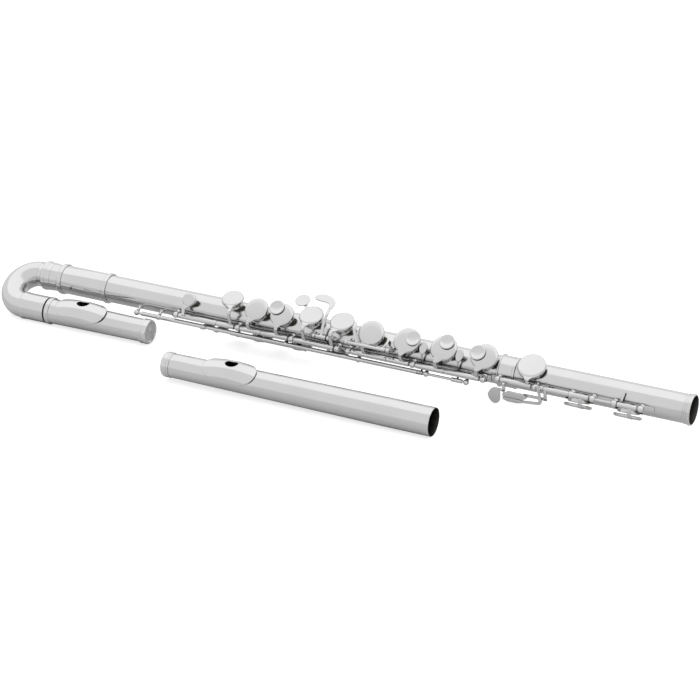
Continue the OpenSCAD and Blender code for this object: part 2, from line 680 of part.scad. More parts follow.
// Foot joint
module foot_tube() color("gainsboro") {
    difference() {
        union() {
            rod([seam_x, foot_end_x], tube_r);
            rod([seam_x - socket_len, seam_x + 3], foot_socket_r);
            bead_ring(seam_x - socket_len, foot_socket_r, 1.6, 1.1);
            bead_ring(seam_x + 0.6, foot_socket_r, 2.4, 0.3);
            bead_ring(foot_end_x - 6.5, tube_r, 1.6, 0.6);
            translate([foot_end_x - 3.2, 0, 0]) rotate([0, 90, 0]) rotate_extrude()
                polygon([[tube_r - 0.2, 0], [end_ring_r - 0.3, 0], [end_ring_r, 0.6],
                    [end_ring_r, 2.6], [end_ring_r - 0.5, 3.2], [tube_r - 0.2, 3.2]]);
            for (h = foot_holes) at(h[0], h[1]) chimney(h[2], h[3]);
        }
        rod([seam_x - 1, foot_end_x + 1], bore_r);
        rod([seam_x - socket_len - 1, seam_x], socket_r);
        for (h = foot_holes) at(h[0], h[1]) chimney_bore(h[2], h[3]);
    }
}

module foot_ribs() color("silver") {
    rib([seam_x + 5.3, -32], 83, 100);
    foot_post(foot_posts[0], steel_r + 0.02, foot_socket_r);
    difference() {
        foot_post(foot_posts[1], foot_core_r + run_play);
        line_rod([foot_posts[1] - 9, foot_posts[1]], steel_r + 0.02, rod_dist, foot_rod_roll);
    }
    foot_post(foot_posts[2], low_hinge_r + run_play);
    for (i = [3:5]) foot_post(foot_posts[i], foot_core_r + run_play);
}
module foot_post(x, bore, surface = tube_r) post(x, rod_dist, foot_rod_roll, ball_r, bore, surface);

module foot_steel() color("dimgray")
    line_rod([foot_posts[0] - 3, foot_posts[1] - 0.4], steel_r, rod_dist, foot_rod_roll);

// A block in the plane of the foot touches: places along X, across and outwards
module block(x, y, z) translate([x[0], y[0], z[0]]) cube([x[1] - x[0], y[1] - y[0], z[1] - z[0]]);
touch_roll = 100;
touch_z = 24;
touch_h = 1.3;

module e_flat_key() color("gainsboro") {
    hinge(e_flat_span, foot_hinge_r, steel_r + run_play, rod_dist, foot_rod_roll);
    at(e_flat_x, row_roll) {
        cup(foot_cup_r, pad_base);
        arm(0.8, foot_cup_r, pad_base, seen(rod_dist, foot_rod_roll, row_roll));
    }
    at(0, touch_roll) {
        translate([0, 0, touch_z]) linear_extrude(touch_h) polygon([[-187.2, -11.5], [-186.6, -8.4],
            [-184.4, -4.7], [-181.6, -2.4], [-178.2, -1.4], [-175.6, -2.6], [-174.9, -5.7], [-175.2, -13],
            [-176.2, -16.3], [-178.6, -18.6], [-182, -19.2], [-185.4, -16.4]]);
        block([-177, -170.4], [-4.5, -1.9], [touch_z, touch_z + touch_h]);
        block([-172.8, -170.4], [-4.5, 4.3], [22.2, touch_z + touch_h]);
    }
}
module e_flat_pad() color("wheat") at(e_flat_x, row_roll) pad(foot_cup_r, pad_base);

// A low key's cup on the underside with its arm, standing open
module low_cup(x, dx) {
    line = seen(rod_dist, foot_rod_roll, low_roll);
    swung(rod_dist, foot_rod_roll, -low_travel) at(x, low_roll) {
        cup(foot_cup_r, foot_pad_base, low_cup_h);
        clear_of_pad(foot_cup_r, foot_pad_base, low_cup_h) translate([dx - arm_w / 2, 0, 0])
            rotate([90, 0, 90]) linear_extrude(arm_w) polygon(band([line + [0.4, 1.2], line + [-0.6, 4.6],
                [foot_cup_r + 1.2, foot_pad_base + low_cup_h - 0.9],
                [foot_cup_r - 6, foot_pad_base + low_cup_h - 0.5]], 1.3));
    }
}
module low_pad(x)
    swung(rod_dist, foot_rod_roll, -low_travel) at(x, low_roll) pad(foot_cup_r, foot_pad_base, low_cup_h);

module low_c_sharp_key() color("gainsboro") {
    bored(low_c_sharp_span, foot_core_r + run_play, rod_dist, foot_rod_roll) {
        line_rod(low_c_sharp_span, low_hinge_r, rod_dist, foot_rod_roll);
        low_cup(low_c_sharp_x, 7);
        at(0, touch_roll) {
            translate([0, 0, touch_z]) linear_extrude(touch_h) polygon([[-172.9, -6.4], [-171.8, -5.3],
                [-151, -5.3], [-149.6, -7], [-152.6, -9.5], [-172.9, -9.5]]);
            block([-153.4, -149.8], [-8.2, -5.3], [21.2, touch_z + 0.4]);
            block([-153.4, -130.6], [-7, -4.4], [21.2, 22.8]);
            block([-133.6, -130.6], [-7, 4.3], [21.2, 22.8]);
        }
    }
}
module low_c_sharp_pad() color("wheat") low_pad(low_c_sharp_x);

module low_c_key() color("gainsboro") {
    line_rod([foot_posts[1] + 0.4, foot_posts[5] + 2.6], foot_core_r, rod_dist, foot_rod_roll);
    line_rod(low_c_touch_span, low_hinge_r, rod_dist, foot_rod_roll);
    line_rod(low_c_sleeve_span, low_hinge_r, rod_dist, foot_rod_roll);
    low_cup(low_c_x, 6);
    at(0, touch_roll) {
        translate([0, 0, touch_z]) linear_extrude(touch_h) polygon([[-172.7, -10.2], [-172.5, -12.6],
            [-168.2, -14.4], [-158.3, -14.3], [-152.7, -12.6], [-138, -11.2], [-135.6, -10.2],
            [-134.4, -7.6], [-134.9, -3.6], [-135.9, 1.9], [-137.8, 10], [-139.7, 10.4], [-138.3, 1.9],
            [-137.4, -4.6], [-137.9, -8.4], [-151.4, -10.2]]);
        block([-138.2, -136.1], [2.2, 6.2], [21, touch_z + 0.5]);
    }
    blade(66, 14.9, 16.9, [[-60.2, 4.4], [-61, 0], [-62.2, -4.6], [-62.6, -8.4]], 2.2);
    at(0, foot_rod_roll) block([-63.7, -61.3], [-1.2, 1.2], [15.4, rod_dist - low_hinge_r + 0.6]);
}
module low_c_pad() color("wheat") low_pad(low_c_x);

// Curved headjoint
// The bend alone: half a ring of tube, cut at the plane where the straight parts begin
module bend_tube() color("gainsboro") intersection() {
    at(-bend_x, bend_roll) translate([0, 0, bend_gap / 2]) rotate([90, 0, 0]) rotate_extrude()
        translate([bend_gap / 2, 0]) difference() {
            circle(r = bend_r);
            circle(r = bend_r - wall);
        }
    translate([-bend_x - 60, -80, -80]) cube([60, 160, 160]);
}

// The straight part that enters the barrel, with the upper ferrule
module head_tenon() color("silver") {
    left = -bend_x;
    tenon_r = tube_r - 0.02;
    difference() {
        union() {
            rod([left, left + 5], bend_r);
            rod([left + 4.2, left + 14.8], tenon_r + 0.35);
            bead_ring(left + 4.2, tenon_r + 0.2, 5, 0.9);
            rod([left + 14, -barrel_top + 41], tenon_r);
        }
        rod([left + 8, -barrel_top + 42], tenon_r - wall);
        rod([left - 1, left + 9], bend_r - wall);
    }
}

// Turns children from the body axis to the mouth tube, whose wide end is then at X = 0
module at_mouth() at(-bend_x, bend_roll) translate([0, 0, bend_gap]) rotate([-bend_roll, 0, 0]) children();

// A tapered tube along X
module taper(x0, x1, r0, r1) translate([x0, 0, 0]) rotate([0, 90, 0]) cylinder(r1 = r0, r2 = r1, h = x1 - x0);

module mouth_tube() color("gainsboro") at_mouth() difference() {
    union() {
        taper(0, mouth_len, mouth_r, mouth_end_r);
        rod([0, 28.4], mouth_r + 0.65);
        bead_ring(0, mouth_r + 0.5, 4.6, 0.5);
        bead_ring(29.7, mouth_r - 0.2, 4.8, 1.2);
    }
    taper(-eps, mouth_len + eps, mouth_r - wall, mouth_end_r - wall);
    translate([hole_from_bend, 0, 0]) linear_extrude(30) polygon(ellipse(hole_a + 0.6, hole_b + 0.6, 32));
}

// Radius of a tapered tube at a distance from its wide end
function taper_r(r0, r1, l, x) = r0 + (r1 - r0) * x / l;

// A lip plate: a curved saddle over the tube with rounded ends, and its riser around the hole
module saddle(r, len) {
    crown_z = r + plate_rise;
    difference() {
        intersection() {
            plate_ring(crown_z, plate_r);
            translate([0, 40, crown_z]) rotate([90, 0, 0]) linear_extrude(80)
                polygon(ellipse(len / 2 + 3, plate_b, 64));
            linear_extrude(60) polygon(ellipse(len / 2, plate_b + 6, 64));
        }
        difference() {
            plate_ring(crown_z - plate_h, plate_r - plate_h);
            linear_extrude(40) polygon(ellipse(hole_a + 1.4, hole_b + 1.4, 32));
        }
        rod([-46, 46], r + 0.12);
        linear_extrude(40) polygon(ellipse(hole_a, hole_b, 32));
    }
}

// The bowed solid whose skin is the lip plate: a wide ring that is highest over the hole
module plate_ring(top, r) {
    translate([0, 0, top - plate_bow]) rotate([90, 0, 0]) rotate_extrude()
        translate([plate_bow - r, 0]) circle(r = r);
}

mouth_hole_r = taper_r(mouth_r, mouth_end_r, mouth_len, hole_from_bend);
module lip_plate() color("silver") at_mouth() translate([hole_from_bend, 0, 0])
    rotate([3, 0, 0]) saddle(mouth_hole_r + 0.28, plate_len);

// A crown: a short cap with a bead and a low dome, bored for the cork's screw
module cap(r, proud) {
    difference() {
        rotate([0, 90, 0]) rotate_extrude() polygon([[0, 0], [r + proud - 0.4, 0],
            [r + proud, 0.5], [r + proud, 2.2], [r + proud - 0.3, 2.8],
            [r + proud, 3.4], [r + proud, crown_len - 2],
            [r + proud - 0.6, crown_len - 1.2], [r - 1.4, crown_len - 0.5], [r * 0.6, crown_len - 0.1],
            [0, crown_len]]);
        rod([-1, crown_len - 3], 1.6);
    }
}
// A head cork between two plates, on a screw that reaches into the crown
module cork(r, back) {
    rod([0, 16], r);
    rod([16, back], 1.5);
}

module crown() color("silver") at_mouth() translate([mouth_len + 0.15, 0, 0]) cap(mouth_end_r, 0.9);
module head_cork() color("peru") at_mouth() translate([hole_from_bend + 17, 0, 0])
    cork(mouth_end_r - wall, mouth_len - hole_from_bend - 17 + crown_len - 4);

// Spare headjoint: open end at X = 0 of its own frame, crown towards -X
spare_z = -30.6 + spare_r + 0.05;
spare_tube_len = spare_len - crown_len;
spare_hole = spare_len - spare_hole_to_crown; // from the open end
module at_spare() translate([spare_x, spare_y, spare_z]) rotate([0, 0.29, spare_yaw]) children();
module spare_tube() color("gainsboro") at_spare() difference() {
    union() {
        rod([-spare_tenon_len, 0], spare_r);
        taper(-spare_tube_len, -spare_tenon_len, spare_end_r, spare_r);
    }
    rod([-spare_tenon_len, 1], spare_r - wall);
    taper(-spare_tube_len - eps, -spare_tenon_len + eps, spare_end_r - wall, spare_r - wall);
    translate([-spare_hole, 0, 0]) linear_extrude(30) polygon(ellipse(hole_a + 0.6, hole_b + 0.6, 32));
}
spare_hole_r = taper_r(spare_r, spare_end_r, spare_tube_len - spare_tenon_len, spare_hole - spare_tenon_len);
module spare_lip_plate() color("silver") at_spare() translate([-spare_hole, 0, 0])
    rotate([5, 0, 0]) saddle(spare_hole_r + 0.25, plate_len - 2);
module spare_crown() color("silver") at_spare() translate([-spare_tube_len - 0.15, 0, 0])
    mirror([1, 0, 0]) cap(spare_end_r, 0.45);
module spare_cork() color("peru") at_spare() translate([-spare_hole - 17, 0, 0]) mirror([1, 0, 0])
    cork(spare_end_r - wall - 0.05, spare_tube_len - spare_hole - 17 + crown_len - 4);

body_tube();
barrel();
body_ribs();
upper_steel();
lower_steel();
thumb_steel();
side_steels();
needle_springs();
key_bumpers();
c_sharp_key();
c_sharp_pad();
c_key();
c_pad();
b_flat_key();
b_flat_pad();
a_key();
a_pad();
g_key();
g_pads();
g_sharp_key();
g_sharp_pad();
f_sharp_key();
f_sharp_pad();
side_lever();
f_key();
f_pad();
e_key();
e_pad();
d_key();
d_pad();
d_trill_key();
d_trill_pad();
d_sharp_trill_key();
d_sharp_trill_pad();
thumb_b_key();
thumb_b_pad();
thumb_b_flat_key();
thumb_b_flat_pad();
foot_tube();
foot_ribs();
foot_steel();
e_flat_key();
e_flat_pad();
low_c_sharp_key();
low_c_sharp_pad();
low_c_key();
low_c_pad();
bend_tube();
head_tenon();
mouth_tube();
lip_plate();
crown();
head_cork();
spare_tube();
spare_lip_plate();
spare_crown();
spare_cork();
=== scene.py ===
from math import asin, cos, pi, radians, sin, sqrt

import bmesh
import bpy
from mathutils import Matrix, Vector


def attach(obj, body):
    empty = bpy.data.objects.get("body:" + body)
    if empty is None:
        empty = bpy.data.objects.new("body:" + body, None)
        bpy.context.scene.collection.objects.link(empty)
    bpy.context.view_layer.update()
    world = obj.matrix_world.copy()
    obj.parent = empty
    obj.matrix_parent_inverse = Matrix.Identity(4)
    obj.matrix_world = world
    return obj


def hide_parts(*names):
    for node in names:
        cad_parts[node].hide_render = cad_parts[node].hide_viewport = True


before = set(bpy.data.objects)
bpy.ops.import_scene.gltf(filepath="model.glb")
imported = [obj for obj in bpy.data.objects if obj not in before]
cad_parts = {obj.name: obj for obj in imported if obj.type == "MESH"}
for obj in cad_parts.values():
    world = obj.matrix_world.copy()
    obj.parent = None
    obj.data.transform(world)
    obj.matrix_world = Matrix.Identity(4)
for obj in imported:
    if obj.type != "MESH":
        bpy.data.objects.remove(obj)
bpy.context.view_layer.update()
print("frame loaded:", len(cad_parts), "nodes")

perMetre = 0.001  # every mesh below is drawn in millimetres and scaled when its piece is finished

# The camera of the photograph: angles in degrees, spot and reach in metres, lens and sensor in millimetres
cameraPlace = dict(azimuth=26.004, elevation=25.61, spot=(0.55892, -1.83707, 0.96768), lens=124.2, sensor=36,
                   reach=50)


def addObject(name, data):
    made = bpy.data.objects.new(name, data)
    bpy.context.scene.collection.objects.link(made)
    return made


def makeCamera(place):
    data = bpy.data.cameras.new("camera")
    data.lens = place["lens"]
    data.sensor_width = place["sensor"]
    data.clip_end = place["reach"]
    seat = addObject("camera", data)
    turn = Matrix.Rotation(radians(place["azimuth"]), 4, "Z")
    tilt = Matrix.Rotation(radians(90 - place["elevation"]), 4, "X")
    seat.matrix_world = Matrix.Translation(place["spot"]) @ turn @ tilt
    bpy.context.scene.camera = seat


makeCamera(cameraPlace)


def linear(hexColour):  # an sRGB hex colour as linear light
    parts = [int(hexColour[i:i + 2], 16) / 255 for i in (1, 3, 5)]
    return tuple(c / 12.92 if c <= 0.04045 else ((c + 0.055) / 1.055) ** 2.4 for c in parts) + (1.0,)


def addNode(tree, kind, values=None, links=None, **settings):
    node = tree.nodes.new(kind)
    for name, value in settings.items():
        setattr(node, name, value)
    for socket, value in (values or {}).items():
        node.inputs[socket].default_value = value
    for socket, source in (links or {}).items():
        tree.links.new(source, node.inputs[socket])
    return node


def startMaterial(name):
    material = bpy.data.materials.new(name)
    material.use_nodes = True
    tree = material.node_tree
    tree.nodes.clear()
    coords = addNode(tree, "ShaderNodeTexCoord").outputs["Object"]
    return material, tree, coords


def endMaterial(tree, values, links):
    shader = addNode(tree, "ShaderNodeBsdfPrincipled", values, links)
    addNode(tree, "ShaderNodeOutputMaterial", links={"Surface": shader.outputs["BSDF"]})


# Silver plate: bright and neutral, polished on a wheel. Drawn tubes keep faint lengthwise lines, cast
# keys show a soft buffing ripple, and handling leaves slightly duller patches. lines is how many marks fit
# in a metre along X, Y and Z: (12, 900, 900) draws streaks 80 mm long and 1 mm wide.
# Every surface with other parts within 9 mm is darkened towards near-black: painted shade in gaps and under
# cups, with a little sulphide tarnish.
def polishedSilver(name, light, dark, lines, ripple, gloss):
    material, tree, coords = startMaterial(name)
    stretch = addNode(tree, "ShaderNodeMapping", {"Scale": lines}, {"Vector": coords})
    drawn = addNode(tree, "ShaderNodeTexNoise", {"Scale": 1.0, "Detail": 3.0, "Roughness": 0.6},
                    {"Vector": stretch.outputs["Vector"]})
    patches = addNode(tree, "ShaderNodeTexNoise", {"Scale": 28.0, "Detail": 3.0, "Roughness": 0.55},
                      {"Vector": coords})  # 35 mm handling patches
    tone = addNode(tree, "ShaderNodeMix", data_type="RGBA", links={"Factor": patches.outputs["Fac"]})
    tone.inputs["A"].default_value = linear(light)
    tone.inputs["B"].default_value = linear(dark)
    gapShade = addNode(tree, "ShaderNodeAmbientOcclusion", {"Distance": 0.009}, samples=6)  # gaps within 9 mm, used for painted shade
    reach = addNode(tree, "ShaderNodeMapRange", {"From Min": 0.12, "From Max": 0.62},
                    {"Value": gapShade.outputs["AO"]})
    paintedShadeAndTarnish = addNode(tree, "ShaderNodeMix", data_type="RGBA", links={"Factor": reach.outputs["Result"]})
    paintedShadeAndTarnish.inputs["A"].default_value = linear("#2F2E2D")  # painted shade in gaps and under cups, with some sulphide left where a cloth doesn't reach
    tree.links.new(tone.outputs["Result"], paintedShadeAndTarnish.inputs["B"])
    rough = addNode(tree, "ShaderNodeMapRange", {"From Min": 0.3, "From Max": 0.7, "To Min": gloss[0],
                    "To Max": gloss[1]}, {"Value": patches.outputs["Fac"]})
    bump = addNode(tree, "ShaderNodeBump", {"Strength": ripple, "Distance": 0.00004},
                   {"Height": drawn.outputs["Fac"]})
    endMaterial(tree, {"Metallic": 1.0}, {"Base Color": paintedShadeAndTarnish.outputs["Result"],
                "Roughness": rough.outputs["Result"], "Normal": bump.outputs["Normal"]})
    return material


# Steel rod: greyer than the plate, with turning marks across its length
def turnedSteel(name, light, dark, roughness):
    material, tree, coords = startMaterial(name)
    rings = addNode(tree, "ShaderNodeTexWave", {"Scale": 900.0, "Distortion": 1.5, "Detail": 2.0},
                    {"Vector": coords}, wave_type="BANDS", bands_direction="X")  # marks 0.35 mm apart
    tone = addNode(tree, "ShaderNodeMix", data_type="RGBA", links={"Factor": rings.outputs["Fac"]})
    tone.inputs["A"].default_value = linear(light)
    tone.inputs["B"].default_value = linear(dark)
    bump = addNode(tree, "ShaderNodeBump", {"Strength": 0.25, "Distance": 0.00005},
                   {"Height": rings.outputs["Fac"]})
    endMaterial(tree, {"Metallic": 1.0, "Roughness": roughness},
                {"Base Color": tone.outputs["Result"], "Normal": bump.outputs["Normal"]})
    return material


# Pad: translucent bladder skin stretched over felt, with faint veins and a dry sheen; its dark grey-brown,
# darker than cream skin, is partly painted shade under the cups
def padSkinPaintedShade():
    material, tree, coords = startMaterial("bladderSkinPadPaintedShade")
    veins = addNode(tree, "ShaderNodeTexVoronoi", {"Scale": 260.0}, {"Vector": coords},
                    feature="DISTANCE_TO_EDGE")  # veins 4 mm apart
    felt = addNode(tree, "ShaderNodeTexNoise", {"Scale": 900.0, "Detail": 4.0}, {"Vector": coords})  # 1 mm
    tone = addNode(tree, "ShaderNodeMix", data_type="RGBA", links={"Factor": felt.outputs["Fac"]})
    # dark grey-brown: painted shade under the cups, partly the skin's own tan
    tone.inputs["A"].default_value = linear("#7D7566")
    tone.inputs["B"].default_value = linear("#5F594C")
    bump = addNode(tree, "ShaderNodeBump", {"Strength": 0.3, "Distance": 0.0001},
                   {"Height": veins.outputs["Distance"]})
    endMaterial(tree, {"Roughness": 0.45, "IOR": 1.5, "Sheen Weight": 0.2},
                {"Base Color": tone.outputs["Result"], "Normal": bump.outputs["Normal"]})
    return material


# Cork: dull, with darker pores; warm brown in the heads, near-black for the bumpers under the keys
def naturalCork(name, dark, light):
    material, tree, coords = startMaterial(name)
    pores = addNode(tree, "ShaderNodeTexVoronoi", {"Scale": 700.0}, {"Vector": coords})  # 1.4 mm apart
    grain = addNode(tree, "ShaderNodeTexNoise", {"Scale": 1400.0, "Detail": 5.0}, {"Vector": coords})
    both = addNode(tree, "ShaderNodeMath", links={0: pores.outputs["Distance"], 1: grain.outputs["Fac"]},
                   operation="MULTIPLY")
    ramp = addNode(tree, "ShaderNodeValToRGB", links={"Fac": both.outputs["Value"]})
    ramp.color_ramp.elements[0].color = linear(dark)
    ramp.color_ramp.elements[0].position = 0.08
    ramp.color_ramp.elements[1].color = linear(light)
    ramp.color_ramp.elements[1].position = 0.4
    bump = addNode(tree, "ShaderNodeBump", {"Strength": 0.5, "Distance": 0.0002},
                   {"Height": both.outputs["Value"]})
    endMaterial(tree, {"Roughness": 0.85, "IOR": 1.4},
                {"Base Color": ramp.outputs["Color"], "Normal": bump.outputs["Normal"]})
    return material


tubeSilver = polishedSilver("silverPlateDrawn", "#D6D6D6", "#CCCCCC", (12, 900, 900), 0.22, (0.13, 0.2))
fittingSilver = polishedSilver("silverPlateTurned", "#D8D8D8", "#CDCDCD", (900, 60, 60), 0.14, (0.08, 0.14))
keySilver = polishedSilver("silverPlateCast", "#D6D6D6", "#C9C9C9", (240, 240, 240), 0.22, (0.1, 0.18))
# Inside the tubes: silver darkened as painted shade of the bore, with a little tarnish
boreSilverPaintedShade = polishedSilver("silverBoreTarnishAndShade", "#6A6864", "#4C4A47", (20, 600, 600), 0.3, (0.32, 0.5))
# The joint groove on the mouth tube: near-black silver as painted shade
grooveSilverPaintedShade = polishedSilver("silverGrooveShade", "#3A3937", "#2A2928", (400, 400, 400), 0.3, (0.4, 0.55))
rodSteel = turnedSteel("drawnSteel", "#A9A9AB", "#8C8C8F", 0.28)
springSteel = turnedSteel("bluedSteel", "#3E4B66", "#2C3448", 0.3)
pads = padSkinPaintedShade()
cork = naturalCork("naturalCork", "#6E4A2C", "#C69B68")
bumperCork = naturalCork("nearBlackCork", "#2B2825", "#56504A")
print("materials made")


# Modelling tools, all in millimetres. The tube lies along X, and roll turns from straight up towards the
# player, in degrees.
def around(x, roll):  # a place on the tube: local Z points outwards
    return Matrix.Translation((x, 0, 0)) @ Matrix.Rotation(radians(roll), 4, "X")


def lineSpot(line):  # line is (distance from the body axis, roll angle)
    return Vector((0, -line[0] * sin(radians(line[1])), line[0] * cos(radians(line[1]))))


def swung(line, angle):  # a turn about a hinge line
    spot = lineSpot(line)
    return Matrix.Translation(spot) @ Matrix.Rotation(radians(angle), 4, "X") @ Matrix.Translation(-spot)


def seen(line, roll):  # a hinge line in the frame of a cup, as (across, up)
    turn = radians(line[1] - roll)
    return Vector((-line[0] * sin(turn), line[0] * cos(turn)))


lengthwise = Matrix.Rotation(radians(90), 4, "Y")  # local Z becomes +X


def onLine(line, x):  # local Z runs along the hinge line from x
    return Matrix.Translation(lineSpot(line) + Vector((x, 0, 0))) @ lengthwise


def eased(points, reach, steps=3, closed=False):  # rounds the corners of an outline
    made = []
    for i, here in enumerate(points):
        if not closed and i in (0, len(points) - 1):
            made.append(here)
            continue
        before = points[i - 1] - here
        after = points[(i + 1) % len(points)] - here
        start = here + before * min(reach / before.length, 0.45)
        end = here + after * min(reach / after.length, 0.45)
        for s in range(steps + 1):
            t = s / steps
            made.append(start * (1 - t) ** 2 + here * 2 * t * (1 - t) + end * t ** 2)
    return made


def flat(pairs):
    return [Vector(pair) for pair in pairs]


def curved(points, steps=5, closed=False):  # a smooth line through points
    made = []
    last = len(points)
    for i in range(last if closed else last - 1):
        a, b = points[i], points[(i + 1) % last]
        before = points[i - 1] if closed or i > 0 else a
        after = points[(i + 2) % last] if closed or i + 2 < last else b
        for s in range(steps):
            t = s / steps
            made.append(0.5 * (2 * a + (b - before) * t + (2 * before - 5 * a + 4 * b - after) * t * t
                               + (3 * a - before - 3 * b + after) * t ** 3))
    return made if closed else made + [points[-1]]


def pour(piece, part, place):  # adds a finished part to its piece
    part.transform(place)
    bmesh.ops.recalc_face_normals(part, faces=part.faces)
    holder = bpy.data.meshes.new("holder")
    part.to_mesh(holder)
    part.free()
    piece.from_mesh(holder)
    bpy.data.meshes.remove(holder)


def softenEdges(part, reach, segments=2, fromAngle=38):  # bevels what is sharper than fromAngle
    bmesh.ops.recalc_face_normals(part, faces=part.faces)
    sharp = [e for e in part.edges if len(e.link_faces) == 2 and e.calc_face_angle() > radians(fromAngle)]
    bmesh.ops.bevel(part, geom=sharp, offset=reach, offset_type="OFFSET", segments=segments, profile=0.5,
                    affect="EDGES", clamp_overlap=True, material=-1)


def turned(piece, profile, place=Matrix(), ring=False, steps=72, shape=None):
    # a profile of (radius, height) turned about local Z; shape(part) may change it before it is placed
    part = bmesh.new()
    verts = [part.verts.new((r, 0, z)) for r, z in profile]
    pairs = list(zip(verts, verts[1:])) + ([(verts[-1], verts[0])] if ring else [])
    edges = [part.edges.new(pair) for pair in pairs]
    bmesh.ops.spin(part, geom=verts + edges, cent=(0, 0, 0), axis=(0, 0, 1), angle=2 * pi, steps=steps,
                   use_merge=True)
    bmesh.ops.remove_doubles(part, verts=part.verts, dist=0.0005)
    if shape:
        shape(part)
    pour(piece, part, place)


def divided(points, reach):  # splits the long sides of a closed outline
    made = []
    for i, here in enumerate(points):
        after = points[(i + 1) % len(points)]
        count = max(1, round((after - here).length / reach))
        made += [here.lerp(after, s / count) for s in range(count)]
    return made


def asObject(part):  # a passing object for the cut below
    mesh = bpy.data.meshes.new("blank")
    bmesh.ops.recalc_face_normals(part, faces=part.faces)
    part.to_mesh(mesh)
    return addObject("blank", mesh)


def cutAway(part, cutter):  # takes the cutter's space out of a part
    blank, tool = asObject(part), asObject(cutter)
    cutter.free()
    step = blank.modifiers.new("cut", "BOOLEAN")
    step.operation = "DIFFERENCE"
    step.solver = "EXACT"
    step.object = tool
    shaped = blank.evaluated_get(bpy.context.evaluated_depsgraph_get())
    part.clear()
    part.from_mesh(shaped.data)
    for spent in (blank, tool):
        mesh = spent.data
        bpy.data.objects.remove(spent)
        bpy.data.meshes.remove(mesh)


def addPin(piece, radius, low, high, place, steps):  # a plain pin along local Z
    bmesh.ops.create_cone(piece, cap_ends=True, segments=steps, radius1=radius, radius2=radius,
                          depth=high - low, matrix=place @ Matrix.Translation((0, 0, (low + high) / 2)))


def swept(piece, path, sizes, place=Matrix(), across=(1, 0, 0), edge=0.35):
    # a bar along a path: sizes are (width along across, thickness), one for all or one for each point
    part = bmesh.new()
    bmesh.ops.create_grid(part, x_segments=1, y_segments=1, size=0.5)
    across = Vector(across).normalized()
    tip = part.faces[:][0]
    before = Matrix()
    for i, point in enumerate(path):
        forward = (path[min(i + 1, len(path) - 1)] - path[max(i - 1, 0)]).normalized()
        up = forward.cross(across).normalized()
        side = up.cross(forward)
        wide, thick = sizes[i] if isinstance(sizes, list) else sizes
        here = Matrix((side * wide, up * thick, forward)).transposed().to_4x4()  # carries a unit square
        here.translation = point
        if i:
            grown = bmesh.ops.extrude_face_region(part, geom=[tip] + tip.edges[:])["geom"]
            tip = [g for g in grown if isinstance(g, bmesh.types.BMFace)][0]
        bmesh.ops.transform(part, matrix=here @ before.inverted(), verts=tip.verts[:])
        before = here
    softenEdges(part, edge)
    pour(piece, part, place)


def slab(piece, outline, low, high, place=Matrix(), edge=0.35):  # a plate with softened edges
    part = bmesh.new()
    face = part.faces.new([part.verts.new((x, y, low)) for x, y in outline])
    grown = bmesh.ops.extrude_face_region(part, geom=[face])["geom"]
    upper = [g for g in grown if isinstance(g, bmesh.types.BMVert)]
    bmesh.ops.translate(part, vec=(0, 0, high - low), verts=upper)
    softenEdges(part, edge, 3, 50)
    pour(piece, part, place)


def finishPiece(name, piece, body, materials, node, sharpFrom=34):  # into metres, in place of a node
    bmesh.ops.scale(piece, vec=(perMetre,) * 3, verts=piece.verts)
    for face in piece.faces:
        face.smooth = True
    for e in piece.edges:
        if len(e.link_faces) == 2 and e.calc_face_angle(0) > radians(sharpFrom):
            e.smooth = False
    mesh = bpy.data.meshes.new(name)
    piece.to_mesh(mesh)
    piece.free()
    for material in materials:
        mesh.materials.append(material)
    made = addObject(name, mesh)
    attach(made, body)
    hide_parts(node)
    return made


# Tone holes: (place along the tube, roll, radius of the cup over it, height of its chimney's rim)
rowRim, underRim, footRim = 15.9, 15, 14.3
bodyHoles = dict(
    c_sharp=(-501, 46, 6.8, rowRim), c=(-458, 12, 10.7, rowRim), b_flat=(-429.5, 32.5, 11.7, rowRim),
    a=(-402.5, 32.5, 11.7, rowRim), g=(-373.7, 15, 11.7, rowRim), g_lower=(-341.6, 15, 11.7, rowRim),
    f_sharp=(-309.7, 32.5, 12.8, rowRim), f=(-272.9, 32.5, 12.8, rowRim), e=(-236, 32.5, 12.8, rowRim),
    d=(-195.7, 32.5, 12.8, rowRim), d_trill=(-471, 165, 5.8, underRim),
    d_sharp_trill=(-486, 165, 5.8, underRim), thumb_b=(-430, 178, 10.6, underRim),
    thumb_b_flat=(-388, 178, 10.6, underRim), g_sharp=(-346, 158, 9.6, underRim))
footHoles = dict(e_flat=(-150.6, 32.5, 13.1, rowRim), low_c_sharp=(-105.7, 157, 13.1, footRim),
                 low_c=(-58.4, 157, 13.1, footRim))
holes = {**bodyHoles, **footHoles}
chimneys = dict(margin=2.9, wall=0.6, buried=13.15)
drawnTube = dict(radius=13.4, bore=12.95, steps=112, darkWithin=13.2)


def tubeWall(outer, inner, x0, x1):  # a plain stretch of tube as a closed outline
    return eased(flat([(outer, x0), (outer, x1), (inner, x1), (inner, x0)]), 0.12, 2, True)


def ringBead(piece, x, radius, width, height):
    outline = flat([(radius - 0.3, 0), (radius + height * 0.55, 0), (radius + height, width * 0.25),
                    (radius + height, width * 0.75), (radius + height * 0.55, width), (radius - 0.3, width)])
    turned(piece, eased(outline, 0.4, 3, True), Matrix.Translation((x, 0, 0)) @ lengthwise, True, 96)


def darkBore(piece):  # the inside of a tube along X takes the second material, silver darkened as painted shade
    for face in piece.faces:
        middle = face.calc_center_median()
        middle.x = 0
        if middle.length < drawnTube["darkWithin"] and face.normal.dot(middle) < 0:
            face.material_index = 1


def holeRadius(cup):  # the opening that a cup of this radius covers
    return cup - chimneys["margin"] - chimneys["wall"]


